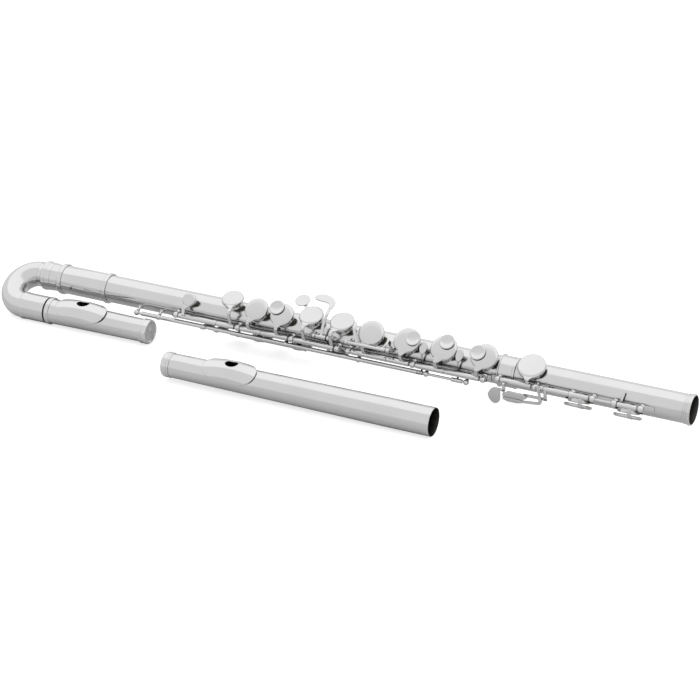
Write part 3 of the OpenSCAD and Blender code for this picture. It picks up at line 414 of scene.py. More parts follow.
def addChimney(piece, cup, rim, place):  # soldered ring with a rolled rim, its foot cut to the tube
    inner = holeRadius(cup)
    outer = inner + chimneys["wall"]
    profile = eased(flat([(inner, 0), (outer + 0.5, 0), (outer + 0.4, 0.5), (outer, 1), (outer, rim - 0.7),
                          (outer + 0.16, rim - 0.4), (outer + 0.1, rim - 0.05), (outer - 0.3, rim),
                          (inner, rim - 0.15)]), 0.2, 2, True)

    def followTube(part):
        for vert in part.verts:
            if vert.co.z < 5:  # the foot's points, all below 1 mm
                vert.co.z += sqrt(max(chimneys["buried"] ** 2 - vert.co.y ** 2, 0))
    turned(piece, profile, place, True, 64, followTube)


def makeTube(name, node, body, outline, ownHoles):  # drawn tube, its tone holes cut, with their chimneys
    piece, drills = bmesh.new(), bmesh.new()
    turned(piece, divided(outline, 7), lengthwise, True, drawnTube["steps"])
    for x, roll, cup, rim in ownHoles.values():
        addPin(drills, holeRadius(cup), 6, rim + 8, around(x, roll), 64)
    cutAway(piece, drills)
    bmesh.ops.recalc_face_normals(piece, faces=piece.faces)
    darkBore(piece)
    for x, roll, cup, rim in ownHoles.values():
        addChimney(piece, cup, rim, around(x, roll))
    finishPiece(name, piece, body, [tubeSilver, boreSilverPaintedShade], node)


bodyPart = dict(left=-608.5, right=-169.6)
makeTube("bodyTube", "body_tube", "flute_body",
         tubeWall(drawnTube["radius"], drawnTube["bore"], bodyPart["left"], bodyPart["right"]), bodyHoles)

footPart = dict(length=169.3, socket=14, socketRadius=14.3, socketBore=13.45, bead=15.4, ring=14.4)


def footOutline(values):  # socket with its bead, tube, and the open end with a bead and a ring
    tube, bore, seat = drawnTube["radius"], drawnTube["bore"], values["socketBore"]
    socket, bead, ring = values["socketRadius"], values["bead"], values["ring"]
    stop = -values["length"]
    left = stop - values["socket"]
    return flat([(seat, left), (bead - 0.5, left), (bead, left + 0.4), (bead, left + 1.2),
                 (bead - 0.45, left + 1.6), (socket, left + 1.8), (socket, stop + 0.4),
                 (socket + 0.3, stop + 0.9), (socket + 0.3, stop + 2.5), (socket, stop + 3),
                 (tube, stop + 3.2), (tube, -6.8), (tube + 0.35, -6.5), (tube + 0.6, -6.1),
                 (tube + 0.6, -5.3), (tube + 0.35, -4.9), (tube, -4.7), (tube, -3.4), (ring - 0.3, -3.2),
                 (ring, -2.6), (ring, -0.6), (ring - 0.5, 0), (bore, 0), (bore, stop), (seat, stop)])


makeTube("footTube", "foot_tube", "foot_joint", eased(footOutline(footPart), 0.25, 2, True), footHoles)

# Each headjoint is drawn in a frame of its own, along X with its blow hole up
heads = dict(mouth=(-675.8, -36.175, -18.432), spare=(-210.2, -91, -17.2), spareTurn=0.8, spareTilt=0.29)
atMouth = Matrix.Translation(heads["mouth"])
atSpare = (Matrix.Translation(heads["spare"]) @ Matrix.Rotation(radians(heads["spareTurn"]), 4, "Z")
           @ Matrix.Rotation(radians(heads["spareTilt"]), 4, "Y"))
blowHole = dict(long=6.3, wide=5.3, play=0.6)
spareHead = dict(length=263.3, straight=42, wide=13.35, narrow=11.5, wall=0.45, hole=-201.5,
                 plateRadius=12.27, plateLength=54, plateTurn=5, crownRadius=11.95, crownAt=-263.45)
mouthPart = dict(hole=68.8, groove=(28.42, 29.68), plateRadius=11.97, plateLength=56, plateTurn=3,
                 crownRadius=12, crownAt=135.15,
                 outline=[(12.3, 0), (12.9, 0), (13.3, 1), (13.3, 3.6), (13, 4.6), (12.95, 28.2),
                          (12.75, 28.4), (11.9, 28.45), (11.9, 29.65), (12.6, 29.7), (13.3, 30.6),
                          (13.3, 33.4), (12.7, 34.4), (12.05, 34.6), (11.1, 135), (10.65, 135), (11.85, 0)])


def makeHeadTube(name, node, body, outline, hole, place, groove=()):
    # a tube with its blow hole cut; groove is (from, to) of a joint line whose faces are painted near-black
    # as shade
    piece, drill = bmesh.new(), bmesh.new()
    turned(piece, divided(outline, 6), lengthwise, True, drawnTube["steps"])
    oval = (blowHole["long"] + blowHole["play"], blowHole["wide"] + blowHole["play"], 1, 1)
    addPin(drill, 1, 0, 30, Matrix.Translation((hole, 0, 0)) @ Matrix.Diagonal(oval), 64)
    cutAway(piece, drill)
    bmesh.ops.recalc_face_normals(piece, faces=piece.faces)
    darkBore(piece)
    for face in piece.faces:
        middle = face.calc_center_median()
        if groove and groove[0] < middle.x < groove[1] and face.material_index == 0:
            face.material_index = 2
    piece.transform(place)
    finishPiece(name, piece, body, [tubeSilver, boreSilverPaintedShade, grooveSilverPaintedShade], node)


def spareOutline(values):  # straight where it fits the barrel, then tapered to the crown
    wide, narrow, wall = values["wide"], values["narrow"], values["wall"]
    crownEnd, taper = -values["length"], -values["straight"]
    return flat([(narrow, crownEnd), (wide, taper), (wide, 0), (wide - wall, 0), (wide - wall, taper),
                 (narrow - wall, crownEnd)])


makeHeadTube("spareTube", "spare_tube", "spare_head", eased(spareOutline(spareHead), 0.12, 2, True),
             spareHead["hole"], atSpare)
makeHeadTube("mouthTube", "mouth_tube", "curved_head", eased(flat(mouthPart["outline"]), 0.25, 2, True),
             mouthPart["hole"], atMouth, mouthPart["groove"])

lipPlates = dict(thick=1.1, round=14.3, bow=120, rise=4.4, centre=22, half=74)  # centre and half in degrees


def makeLipPlate(name, node, body, values, headPlace):  # bowed saddle with a rolled rim, on its riser
    shape, thick, radius = lipPlates, lipPlates["thick"], values["plateRadius"]
    top = radius + shape["rise"]

    def onSaddle(along, roll, height):
        out = shape["round"] - thick + height
        tilt = asin(along / (shape["bow"] - shape["round"] * (1 - cos(roll))))
        reach = shape["bow"] - shape["round"] + out * cos(roll)
        return Vector((reach * sin(tilt), -out * sin(roll), top - shape["bow"] + reach * cos(tilt)))

    def spread(part):  # radius 1 of the turned ring goes to the blow hole and radius 2 to the rim
        for vert in part.verts:
            flatPlace = Vector((vert.co.x, vert.co.y))
            t, way, height = flatPlace.length - 1, flatPlace.normalized(), vert.co.z
            hole = Vector((blowHole["long"] * way.x, -blowHole["wide"] / shape["round"] * way.y))
            rim = Vector((values["plateLength"] / 2 * way.x,
                          radians(shape["centre"] - shape["half"] * way.y)))
            along, roll = hole.lerp(rim, t)
            vert.co = onSaddle(along, roll, max(height, 0))
            if height < -3:  # the riser's foot is buried in the tube
                vert.co.z = sqrt((radius - 0.5) ** 2 - vert.co.y ** 2)
            elif height < 0:
                vert.co.z += height
    profile = flat([(1, -3.4), (1, 0.55), (1.015, 0.95), (1.05, thick), (1.95, thick), (1.985, 0.95),
                    (2, 0.55), (1.985, 0.15), (1.95, 0), (1.17, 0), (1.14, -0.4), (1.14, -3.4)])
    piece = bmesh.new()
    outline = divided(eased(profile, 0.02, 2, True), 0.06)
    turned(piece, outline, Matrix(), True, drawnTube["steps"], spread)
    piece.transform(headPlace @ Matrix.Translation((values["hole"], 0, 0))
                    @ Matrix.Rotation(radians(values["plateTurn"]), 4, "X"))
    finishPiece(name, piece, body, [fittingSilver], node, 50)


makeLipPlate("lipPlate", "lip_plate", "curved_head", mouthPart, atMouth)
makeLipPlate("spareLipPlate", "spare_lip_plate", "spare_head", spareHead, atSpare)


def makeCrown(name, node, body, values, headPlace, turn=0):  # cap with a bead and a dished, bossed face
    radius = values["crownRadius"]
    place = headPlace @ Matrix.Translation((values["crownAt"], 0, 0)) @ Matrix.Rotation(turn, 4, "Z")
    profile = flat([(0, 0), (radius - 0.4, 0), (radius, 0.5), (radius, 2), (radius - 0.5, 2.45),
                    (radius - 0.5, 2.85), (radius, 3.3), (radius, 6.5), (radius - 0.3, 7.4),
                    (radius - 0.9, 8.2), (radius - 1.6, 8.45), (radius - 2.3, 8.2), (radius - 3, 7.6),
                    (radius * 0.5, 7.2), (radius * 0.3, 7.5), (radius * 0.13, 8.05), (0, 8.2)])
    piece = bmesh.new()
    turned(piece, eased(profile, 0.5, 4), place @ lengthwise, False, 96)
    finishPiece(name, piece, body, [fittingSilver], node)


makeCrown("crownCap", "crown", "curved_head", mouthPart, atMouth)
makeCrown("spareCrownCap", "spare_crown", "spare_head", spareHead, atSpare, pi)

barrelPart = dict(left=-653, length=56.5, radius=14.0, bore=13.45)


def makeBarrel(values):  # bare sleeve between two beads
    piece = bmesh.new()
    left, right = values["left"], values["left"] + values["length"]
    wall = tubeWall(values["radius"], values["bore"], left, right)
    turned(piece, wall, lengthwise, True, drawnTube["steps"])
    ringBead(piece, left + 1, values["radius"], 4.8, 1.3)
    ringBead(piece, right - 4.2, values["radius"], 4.2, 1.1)
    finishPiece("barrelSleeve", piece, "flute_body", [fittingSilver], "barrel")


makeBarrel(barrelPart)

# gap is from the tenon's axis to the mouth tube's, radius the bent tube's
bendPart = dict(start=675.8, gap=40.6, roll=117, radius=12.4, wall=0.45, tenon=13.38)


def makeBend(values):  # half a ring of tube, then its wall
    piece = bmesh.new()
    half = Matrix.Translation((0, 0, values["gap"] / 2))
    bmesh.ops.create_circle(piece, segments=96, radius=values["radius"])
    piece.transform(half @ lengthwise)
    bmesh.ops.spin(piece, geom=piece.verts[:] + piece.edges[:], cent=(0, 0, 0), axis=(0, 1, 0), angle=-pi,
                   steps=64)
    bmesh.ops.remove_doubles(piece, verts=piece.verts, dist=0.0005)
    bmesh.ops.recalc_face_normals(piece, faces=piece.faces)
    bmesh.ops.solidify(piece, geom=piece.faces[:], thickness=values["wall"])
    piece.transform(around(-values["start"], values["roll"]) @ half)
    finishPiece("bentTube", piece, "curved_head", [tubeSilver], "bend_tube")


def makeHeadTenon(values):  # ferrule and bead at the bend, then the plain tenon
    piece = bmesh.new()
    left, bent, tenon, wall = -values["start"], values["radius"], values["tenon"], values["wall"]
    profile = flat([(bent - wall, left), (bent, left), (bent, left + 4.2), (13.1, left + 4.2),
                    (14.1, left + 5), (14.48, left + 5.6), (14.48, left + 8), (14.1, left + 9.2),
                    (13.75, left + 9.3), (13.73, left + 14.8), (tenon, left + 14.8), (tenon, left + 63.8),
                    (tenon - wall, left + 63.8), (tenon - wall, left + 9), (bent - wall, left + 9)])
    turned(piece, eased(profile, 0.25, 2, True), lengthwise, True, drawnTube["steps"])
    finishPiece("headTenon", piece, "curved_head", [fittingSilver], "head_tenon")


makeBend(bendPart)
makeHeadTenon(bendPart)
print("tubes made")

# Hinge lines: (distance from the tube's axis, roll)
rodLine, footLine, trillLine, thumbLine = (20.5, 98), (20.5, 88), (22, 115.5), (19, 137)
gSharpLine, sideLine = (20.6, 74), (27.8, 70.8)
cups = dict(height=3.3, wall=0.7, base=16.52, lowBase=15.62, footBase=14.92, footHeight=2.7)
padShape = dict(play=0.04, proud=0.5, under=1.45)
discs = dict(radius=7.4, height=1.5, foot=2.6)
arms = dict(width=3.2, height=1.5)


def addCup(piece, radius, base, place, height=cups["height"]):  # flat crown and rolled shoulder
    inner = radius - cups["wall"]
    outside = eased(flat([(0, height), (radius * 0.5, height - 0.02), (radius - 2.5, height - 0.1),
                          (radius - 1.2, height - 0.34), (radius - 0.35, height - 0.95),
                          (radius, height - 1.8), (radius, 0)]), 0.7, 3)
    inside = flat([(radius - 0.15, 0), (inner, 0), (inner, height - 1.4), (0, height - 1.1)])
    turned(piece, outside + inside, place @ Matrix.Translation((0, 0, base)), steps=88)


def makePad(name, node, body, spots, height):  # spots of (cup radius, base, place)
    piece = bmesh.new()
    top, face = height - padShape["under"], -padShape["proud"]
    for radius, base, place in spots:
        rim = radius - cups["wall"] - padShape["play"]
        profile = eased(flat([(0, top), (rim, top), (rim, face + 0.18), (rim - 0.4, face), (rim - 2.1, face),
                              (rim - 2.35, face + 0.08), (rim - 2.6, face), (0, face)]), 0.25, 2)
        turned(piece, profile, place @ Matrix.Translation((0, 0, base)), steps=64)
    made = finishPiece(name, piece, body, [pads], node)


def keyName(note, ending):
    first, *others = note.split("_")
    return first + "".join(word.capitalize() for word in others) + ending


def finishKey(note, piece, spots, height=cups["height"], pad="pad"):  # the key, then the pads in its cups
    body = note + "_key_body"
    finishPiece(keyName(note, "Key"), piece, body, [keySilver], note + "_key")
    makePad(keyName(note, pad.capitalize()), note + "_" + pad, body, spots, height)


def addSleeve(piece, span, radius, line, bore=0):  # a hinge tube, or a solid rod, with chamfered ends
    long = span[1] - span[0]
    if bore:
        outline = flat([(radius, 0), (radius, long), (bore, long), (bore, 0)])
        turned(piece, eased(outline, 0.22, 2, True), onLine(line, span[0]), True, 40)
    else:
        outline = flat([(0, 0), (radius, 0), (radius, long), (0, long)])
        turned(piece, eased(outline, 0.22, 2), onLine(line, span[0]), False, 40)


def addDisc(piece, base, place):  # finger disc, dished, on its short foot
    r, h, foot = discs["radius"], discs["height"], discs["foot"]
    profile = eased(flat([(0, 0), (r - 0.7, 0), (r, 0.5), (r, h - 0.4), (r - 0.35, h), (r - 1.1, h),
                          (r * 0.55, h - 0.35), (0, h - 0.48)]), 0.4, 3)
    spot = place @ Matrix.Translation((0, 0, base))
    turned(piece, profile, spot, steps=72)
    turned(piece, flat([(0, -0.9), (foot, -0.9), (foot, 0.2), (0, 0.2)]), spot, steps=32)


def inFrame(x, points):  # (across, up) pairs at a place along the tube
    return [Vector((x, across, up)) for across, up in points]


def arcPath(r0, a0, r1, a1, count):  # (across, up) points about the tube's axis, from r0, a0 to r1, a1
    made = []
    for i in range(count + 1):
        r, a = r0 + (r1 - r0) * i / count, radians(a0 + (a1 - a0) * i / count)
        made.append((-r * sin(a), r * cos(a)))
    return made


def onTube(radius, path, roll):  # a path drawn on a plane is laid on a cylinder about the tube's axis
    made = []
    for x, across in path:
        turn = radians(roll)
        up = sqrt(radius ** 2 - across ** 2)
        made.append(Vector((x, across * cos(turn) - up * sin(turn), across * sin(turn) + up * cos(turn))))
    return made


def addArm(piece, dx, radius, start, place):  # from the hinge tube up to the cup's side
    rise = cups["base"] + cups["height"] - 1.6
    path = inFrame(dx, [(start.x + 0.6, start.y + 1.5), (start.x + 0.9, start.y + 3.4),
                        (start.x + 1.9, rise - 1.9), (-radius - 2.4, rise - 0.1),
                        (-radius - 1.2, rise - 0.1)])
    swept(piece, curved(path, 5), (arms["width"], arms["height"]), place, edge=0.5)
    middle = dx / 2
    flare = flat([(dx - 1.7, -radius - 3.2), (dx + 1.7, -radius - 3.2), (middle + 2.6, -radius - 0.9),
                  (middle + 5.4, -radius + 1.6), (middle - 5.4, -radius + 1.6),
                  (middle - 2.6, -radius - 0.9)])
    slab(piece, eased(flare, 1.4, 4, True), rise - 0.95, rise + 0.85, place, 0.5)


# The main row. span is the key's stretch of the rod, dx the arm's place along the cup, disc the finger
# disc's place on it
rowShape = dict(opens=8, sleeve=2.5, bore=1.55)
rowKeys = dict(
    c_sharp=dict(span=(-509.4, -468.4), dx=-3),
    c=dict(span=(-468.1, -449.6), dx=4.5),
    b_flat=dict(span=(-442.4, -421), dx=-3.6),
    a=dict(span=(-420.7, -392.6), dx=-0.8, disc=(-6.2, 5)),
    f_sharp=dict(span=(-325.6, -290), dx=-3),
    f=dict(span=(-289.7, -267.3), dx=-1.6, disc=(6.2, 2.1)),
    e=dict(span=(-260.1, -232), dx=-3.4, disc=(2.1, 5.6)),
    d=dict(span=(-231.7, -197), dx=-3.2, disc=(-6.4, 1.3)))


def addRowCup(piece, note, dx):  # a standing cup on its arm
    x, roll, radius = holes[note][:3]
    place = swung(rodLine, rowShape["opens"]) @ around(x, roll)
    addCup(piece, radius, cups["base"], place)
    addArm(piece, dx, radius, seen(rodLine, roll), place)
    return radius, cups["base"], place


def makeRowKeys(values):
    for note, own in values.items():
        piece = bmesh.new()
        addSleeve(piece, own["span"], rowShape["sleeve"], rodLine, rowShape["bore"])
        spot = addRowCup(piece, note, own["dx"])
        if "disc" in own:
            level = cups["base"] + cups["height"] + 0.3
            addDisc(piece, level, spot[2] @ Matrix.Translation((*own["disc"], 0)))
        finishKey(note, piece, [spot])


makeRowKeys(rowKeys)

gKey = dict(span=(-385.4, -344.4), upperDx=-1.4, lowerDx=-4.7, disc=(-15.3, 14.3))


def makeGKey(values):  # two cups on one tube, and a finger disc on a link
    piece = bmesh.new()
    addSleeve(piece, values["span"], rowShape["sleeve"], rodLine, rowShape["bore"])
    upper = addRowCup(piece, "g", values["upperDx"])
    lower = addRowCup(piece, "g_lower", values["lowerDx"])
    x, y = values["disc"]
    level = cups["base"] + cups["height"]
    addDisc(piece, level - 0.6, upper[2] @ Matrix.Translation((x, y, 0)))
    link = flat([(-5.4, 7.6), (-7.6, 5.4), (x - 1.4, y - 1.4), (x + 1.4, y + 1.4)])
    slab(piece, link, level - 1.4, level - 0.3, upper[2], 0.3)
    finishKey("g", piece, [upper, lower], pad="pads")


makeGKey(gKey)

gSharp = dict(span=(-363, -352.9), sleeve=2, bore=0.95, armX=-357.6, underX=-354.4, tilt=18,
              touch=[(-1.5, 6.4), (1.5, 6.4), (2.6, 11), (2.2, 15.5), (-0.4, 19.4), (-5, 22.4), (-10.6, 24),
                     (-16, 23.2), (-19.6, 20.6), (-20.4, 17.8), (-18.6, 15.6), (-14.6, 14.4), (-9, 14.2),
                     (-4.6, 13), (-2.2, 10.4)])


def makeGSharpKey(values):  # kidney-shaped touch above, cup on the underside
    piece = bmesh.new()
    addSleeve(piece, values["span"], values["sleeve"], gSharpLine, values["bore"])
    start, tilt, armX = seen(gSharpLine, values["tilt"]), around(0, values["tilt"]), values["armX"]
    path = [(start.x + 0.4, start.y + 1.2)] + arcPath(20.6, 44, 22.6, 14, 6)
    path += [(-1.4, 24.2), (3.4, 25.8), (7.6, 26.2)]
    swept(piece, curved(inFrame(armX, path), 3), (3, 1.5), tilt, edge=0.5)
    touch = [Vector((armX + x, y)) for x, y in values["touch"]]
    slab(piece, curved(touch, 4, True), 25.4, 27, tilt, 0.6)
    under = [(-18.9, 4.4)] + arcPath(18, 82, 15.6, 94, 2) + arcPath(15.4, 100, 15.6, 132, 6)
    under += arcPath(16.2, 137, 16.7, 141, 2)
    swept(piece, curved(inFrame(values["underX"], under), 3), (2.6, 1.2), edge=0.35)
    x, roll, radius = holes["g_sharp"][:3]
    place = around(x, roll)
    addCup(piece, radius, cups["lowBase"], place)
    finishKey("g_sharp", piece, [(radius, cups["lowBase"], place)])


makeGSharpKey(gSharp)

sideLever = dict(span=(-326.6, -288.6), sleeve=1.5, bore=0.95, roll=45, reach=26.05, middle=-321,
                 tailX=-292.6,
                 blade=[(-317.2, -12.6), (-318.6, -9.4), (-321.6, -4.4), (-324, 0.6), (-325.2, 5.5),
                        (-325.8, 9.4)],
                 foot=[(-317.8, -11), (-316, -13.6)])


def makeSideLever(values):  # a thin blade standing on edge between the stacks
    piece = bmesh.new()
    addSleeve(piece, values["span"], values["sleeve"], sideLine, values["bore"])
    blade = curved(onTube(values["reach"], values["blade"], values["roll"]), 5)
    sizes = [(1.45, 2.7 - 0.45 * max(0, i - len(blade) + 4)) for i in range(len(blade))]  # narrow end
    out = onTube(values["reach"], [(values["middle"], 0)], values["roll"])[0]
    across = Vector((0, out.y, out.z))
    swept(piece, blade, sizes, across=across, edge=0.4)
    swept(piece, onTube(values["reach"] + 0.55, values["foot"], values["roll"]), (2.6, 2.8), across=across)
    tail = arcPath(26.8, 69.6, 20.4, 62, 3) + arcPath(17.6, 55, 15, 38, 4)
    swept(piece, curved(inFrame(values["tailX"], tail), 3), (2.4, 1.1), edge=0.3)
    finishPiece("sideLever", piece, "side_lever_key", [keySilver], "side_lever")


makeSideLever(sideLever)

# The trill keys share one line: the rod of the second runs inside the tube of the first.
# tubes of (span, radius), solid where bore is 0
trillTouch = dict(long=5.8, wide=3.8, swell=0.16, low=18.8, top=20.1)
trillKeys = dict(
    d_trill=dict(touch=-255.6, bore=1.25, tubes=[((-478, -253.3), 2), ((-259.5, -253.3), 2)]),
    d_sharp_trill=dict(touch=-219.5, bore=0,
                       tubes=[((-559.6, -207.4), 1.2), ((-552, -481), 2), ((-224.5, -214), 2)]))


def makeTrillKeys(values):
    teardrop = []
    for i in range(32):
        a = 2 * pi * i / 32
        wide = trillTouch["wide"] * (1 + trillTouch["swell"] * sin(a))
        teardrop.append(Vector((wide * cos(a), trillTouch["long"] * sin(a))))
    stem = arcPath(20.2, 118, 17.2, 114, 2) + arcPath(16.3, 108, 15.8, 92, 4) + arcPath(16.2, 84, 19.2, 64, 4)
    for note, own in values.items():
        piece = bmesh.new()
        for span, radius in own["tubes"]:
            addSleeve(piece, span, radius, trillLine, own["bore"])
        swept(piece, curved(inFrame(own["touch"], stem), 3), (1.8, 1.1), edge=0.3)
        slab(piece, teardrop, trillTouch["low"], trillTouch["top"],
             around(own["touch"], 50) @ Matrix.Translation((0, 0.8, 0)), 0.5)
        x, roll, radius = holes[note][:3]
        place, start = around(x, roll), seen(trillLine, roll)
        addCup(piece, radius, cups["lowBase"], place)
        arm = [(start.x - 0.9, start.y + 1.2), (start.x - 2, start.y + 3), (7.8, 17.92), (5.2, 17.92)]
        swept(piece, curved(inFrame(0, arm), 4), (2.6, 1.1), place, edge=0.3)
        finishKey(note, piece, [(radius, cups["lowBase"], place)])


makeTrillKeys(trillKeys)

thumbShape = dict(opens=6, sleeve=2, bore=0.95, tilt=152, low=19.2, top=20.5)
thumbKeys = dict(thumb_b=dict(span=(-446, -417), plate=(-466, -443.4), armX=-444.6),
                 thumb_b_flat=dict(span=(-416.7, -381), plate=(-417.6, -403), armX=-410.5))


def makeThumbKeys(values):  # a cup and a rounded thumb plate, each on its own arm
    tilt, shape = around(0, thumbShape["tilt"]), thumbShape
    for note, own in values.items():
        piece = bmesh.new()
        x, roll, radius = holes[note][:3]
        addSleeve(piece, own["span"], shape["sleeve"], thumbLine, shape["bore"])
        place, start = swung(thumbLine, -shape["opens"]) @ around(x, roll), seen(thumbLine, roll)
        addCup(piece, radius, cups["lowBase"], place)
        arm = [(start.x - 1.2, start.y + 1.4), (start.x - 1.6, start.y + 3), (9.6, 17.62)]
        swept(piece, curved(inFrame(0, arm), 4), (3.4, 1.3), place, edge=0.4)
        x0, x1 = own["plate"]
        outline = flat([(x0 + 1.5, -9), (x0, -11), (x0, -16), (x0 + 3, -19.6), (x0 + 6, -20.2),
                        (x1 - 5, -20.2), (x1 - 1.5, -18.4), (x1, -15), (x1, -8), (x1 - 1, -7)])
        slab(piece, eased(outline, 1.6, 4, True), shape["low"], shape["top"], tilt, 0.45)
        start = seen(thumbLine, shape["tilt"])
        arm = [(start.x - 0.6, start.y + 1.5), (0.6, 19.4), (-7, 19.85), (-9.5, 19.85)]
        swept(piece, curved(inFrame(own["armX"], arm), 4), (2.4, 1.2), tilt, edge=0.35)
        finishKey(note, piece, [(radius, cups["lowBase"], place)])


makeThumbKeys(thumbKeys)

# Foot keys: the touches lie on one plane beside the tube, and bars tie them to their hinge tubes.
# tubes of (span, radius, bore), bars of (from, to) along, across and up
touches = dict(roll=100, low=24, height=1.3)
eFlatKey = dict(span=(-175.9, -146.4), dx=0.8,
                touch=[(-187.2, -11.5), (-186.6, -8.4), (-184.4, -4.7), (-181.6, -2.4), (-178.2, -1.4),
                       (-175.6, -2.6), (-174.9, -5.7), (-175.2, -13), (-176.2, -16.3), (-178.6, -18.6),
                       (-182, -19.2), (-185.4, -16.4)],
                bars=[((-177, -170.4), (-4.5, -1.9), (24, 25.3)),
                      ((-172.8, -170.4), (-4.5, 4.3), (22.2, 25.3))])
lowShape = dict(opens=5, armWidth=3.4, armHeight=1.3)
lowKeys = dict(
    low_c_sharp=dict(tubes=[((-134.1, -91.3), 2.3, 1.25)], dx=7, rounding=0.9,
                     touch=[(-172.9, -6.4), (-171.8, -5.3), (-169.4, -5.2), (-168.2, -2.9), (-152.8, -2.9),
                            (-149.6, -5.4), (-149.6, -7), (-152.6, -9.5), (-172.9, -9.5)],
                     bars=[((-153.4, -149.8), (-8.2, -5.3), (21.2, 24.4)),
                           ((-153.4, -130.6), (-7, -4.4), (21.2, 22.8)),
                           ((-133.6, -130.6), (-7, 4.3), (21.2, 22.8))]),
    low_c=dict(tubes=[((-142.4, -40), 1.2, 0), ((-139.4, -134.4), 2.3, 0), ((-64, -46), 2.3, 0)], dx=6,
               rounding=0.5,
               touch=[(-172.7, -10.2), (-172.5, -12.6), (-168.2, -14.4), (-158.3, -14.3), (-152.7, -12.6),
                      (-138, -11.2), (-135.6, -10.2), (-134.4, -7.6), (-134.9, -3.6), (-135.9, 1.9),
                      (-137.8, 10), (-139.7, 10.4), (-138.3, 1.9), (-137.4, -4.6), (-137.9, -8.4),
                      (-151.4, -10.2)],
               bars=[((-138.2, -136.1), (2.2, 6.2), (21, 24.5))],
               fin=[(-60.2, 4.4), (-61, 0), (-62.2, -4.6), (-62.6, -8.4)]))
lowFin = dict(reach=15.9, roll=66, thick=1.9, narrow=0.9, widens=2.6)


def addBar(piece, xs, ys, zs, place, edge=0.35):  # a straight bar given by its limits
    corners = flat([(xs[0], ys[0]), (xs[1], ys[0]), (xs[1], ys[1]), (xs[0], ys[1])])
    slab(piece, corners, zs[0], zs[1], place, edge)


def addTouch(piece, outline, place, edge):
    slab(piece, outline, touches["low"], touches["low"] + touches["height"], place, edge)


def makeEFlatKey(values):  # the only foot key that stands closed
    piece = bmesh.new()
    addSleeve(piece, values["span"], rowShape["sleeve"], footLine, rowShape["bore"])
    x, roll, radius = holes["e_flat"][:3]
    place, tilt = around(x, roll), around(0, touches["roll"])
    addCup(piece, radius, cups["base"], place)
    addArm(piece, values["dx"], radius, seen(footLine, roll), place)
    addTouch(piece, curved(flat(values["touch"]), 4, True), tilt, 0.45)
    for bar in values["bars"]:
        addBar(piece, *bar, tilt)
    finishKey("e_flat", piece, [(radius, cups["base"], place)])


def addLowCup(piece, note, dx):  # a cup on the foot's underside, on its arm
    x, roll, radius = holes[note][:3]
    place = swung(footLine, -lowShape["opens"]) @ around(x, roll)
    start, top = seen(footLine, roll), cups["footBase"] + cups["footHeight"]
    addCup(piece, radius, cups["footBase"], place, cups["footHeight"])
    path = inFrame(dx, [(start.x + 0.4, start.y + 1.2), (start.x - 0.6, start.y + 4.6),
                        (radius + 1.2, top - 0.9), (radius - 6, top - 0.5)])
    swept(piece, curved(path, 4), (lowShape["armWidth"], lowShape["armHeight"]), place, edge=0.4)
    return radius, cups["footBase"], place


def addFin(piece, line):  # a stop lying against the tube, wider at its lower end
    reach, roll = lowFin["reach"], lowFin["roll"]
    blade = curved(onTube(reach, line, roll), 4)
    sizes = [(lowFin["thick"], lowFin["narrow"] + lowFin["widens"] * i / (len(blade) - 1))
             for i in range(len(blade))]
    out = onTube(reach, [(-61, -2)], roll)[0]
    swept(piece, blade, sizes, across=Vector((0, out.y, out.z)), edge=0.35)
    addBar(piece, (-63.7, -61.3), (-1.2, 1.2), (15.4, 18.8), around(0, footLine[1]), 0.25)


def makeLowKeys(values):
    tilt = around(0, touches["roll"])
    for note, own in values.items():
        piece = bmesh.new()
        for span, radius, bore in own["tubes"]:
            addSleeve(piece, span, radius, footLine, bore)
        spot = addLowCup(piece, note, own["dx"])
        addTouch(piece, eased(flat(own["touch"]), own["rounding"], 3, True), tilt, 0.4)
        for bar in own["bars"]:
            addBar(piece, *bar, tilt)
        if "fin" in own:
            addFin(piece, own["fin"])
        finishKey(note, piece, [spot], cups["footHeight"])


makeEFlatKey(eFlatKey)
makeLowKeys(lowKeys)
print("keys made")

# Straps are (from, to) along the tube and (from, to) in roll. Posts stand on them or on the tube:
# (places, hinge line, ball radius, bore, height of the surface they stand on)
tubeTop, strapTop = 13.4, 14.3
mounts = dict(stem=1.3, foot=2.5, play=0.02)
bodyMounts = dict(strap=(-560, -188, 92, 120), posts=[
    ((-513, -446, -389, -341, -329.2, -263.7, -193.6), rodLine, 3.1, 1.52, strapTop),
    ((-557,), trillLine, 2.7, 1.25, strapTop), ((-533,), trillLine, 2.7, 2.05, strapTop),
    ((-395, -319), trillLine, 2.9, 2.05, strapTop), ((-250, -210), trillLine, 2.7, 1.25, strapTop),
    ((-365.5, -350.5), gSharpLine, 2.1, 0.92, tubeTop), ((-328.6, -286.6), sideLine, 1.9, 0.92, tubeTop),
    ((-449.4, -377.6), thumbLine, 2.5, 0.92, tubeTop)])
footMounts = dict(strap=(-164, -32, 83, 100), posts=[
    ((-179.3, -142.8), footLine, 3.1, 1.52, strapTop), ((-108,), footLine, 3.1, 2.35, strapTop),
    ((-88, -67.4, -42.6), footLine, 3.1, 1.25, strapTop)])


def addStrap(piece, x0, x1, rollFrom, rollTo):  # a strap rolled to the tube, with softened edges
    middle = (tubeTop + strapTop) / 2 + mounts["play"]
    path = inFrame((x0 + x1) / 2, arcPath(middle, rollFrom, middle, rollTo, 14))
    swept(piece, path, (x1 - x0, strapTop - tubeTop - 2 * mounts["play"]), edge=0.3)


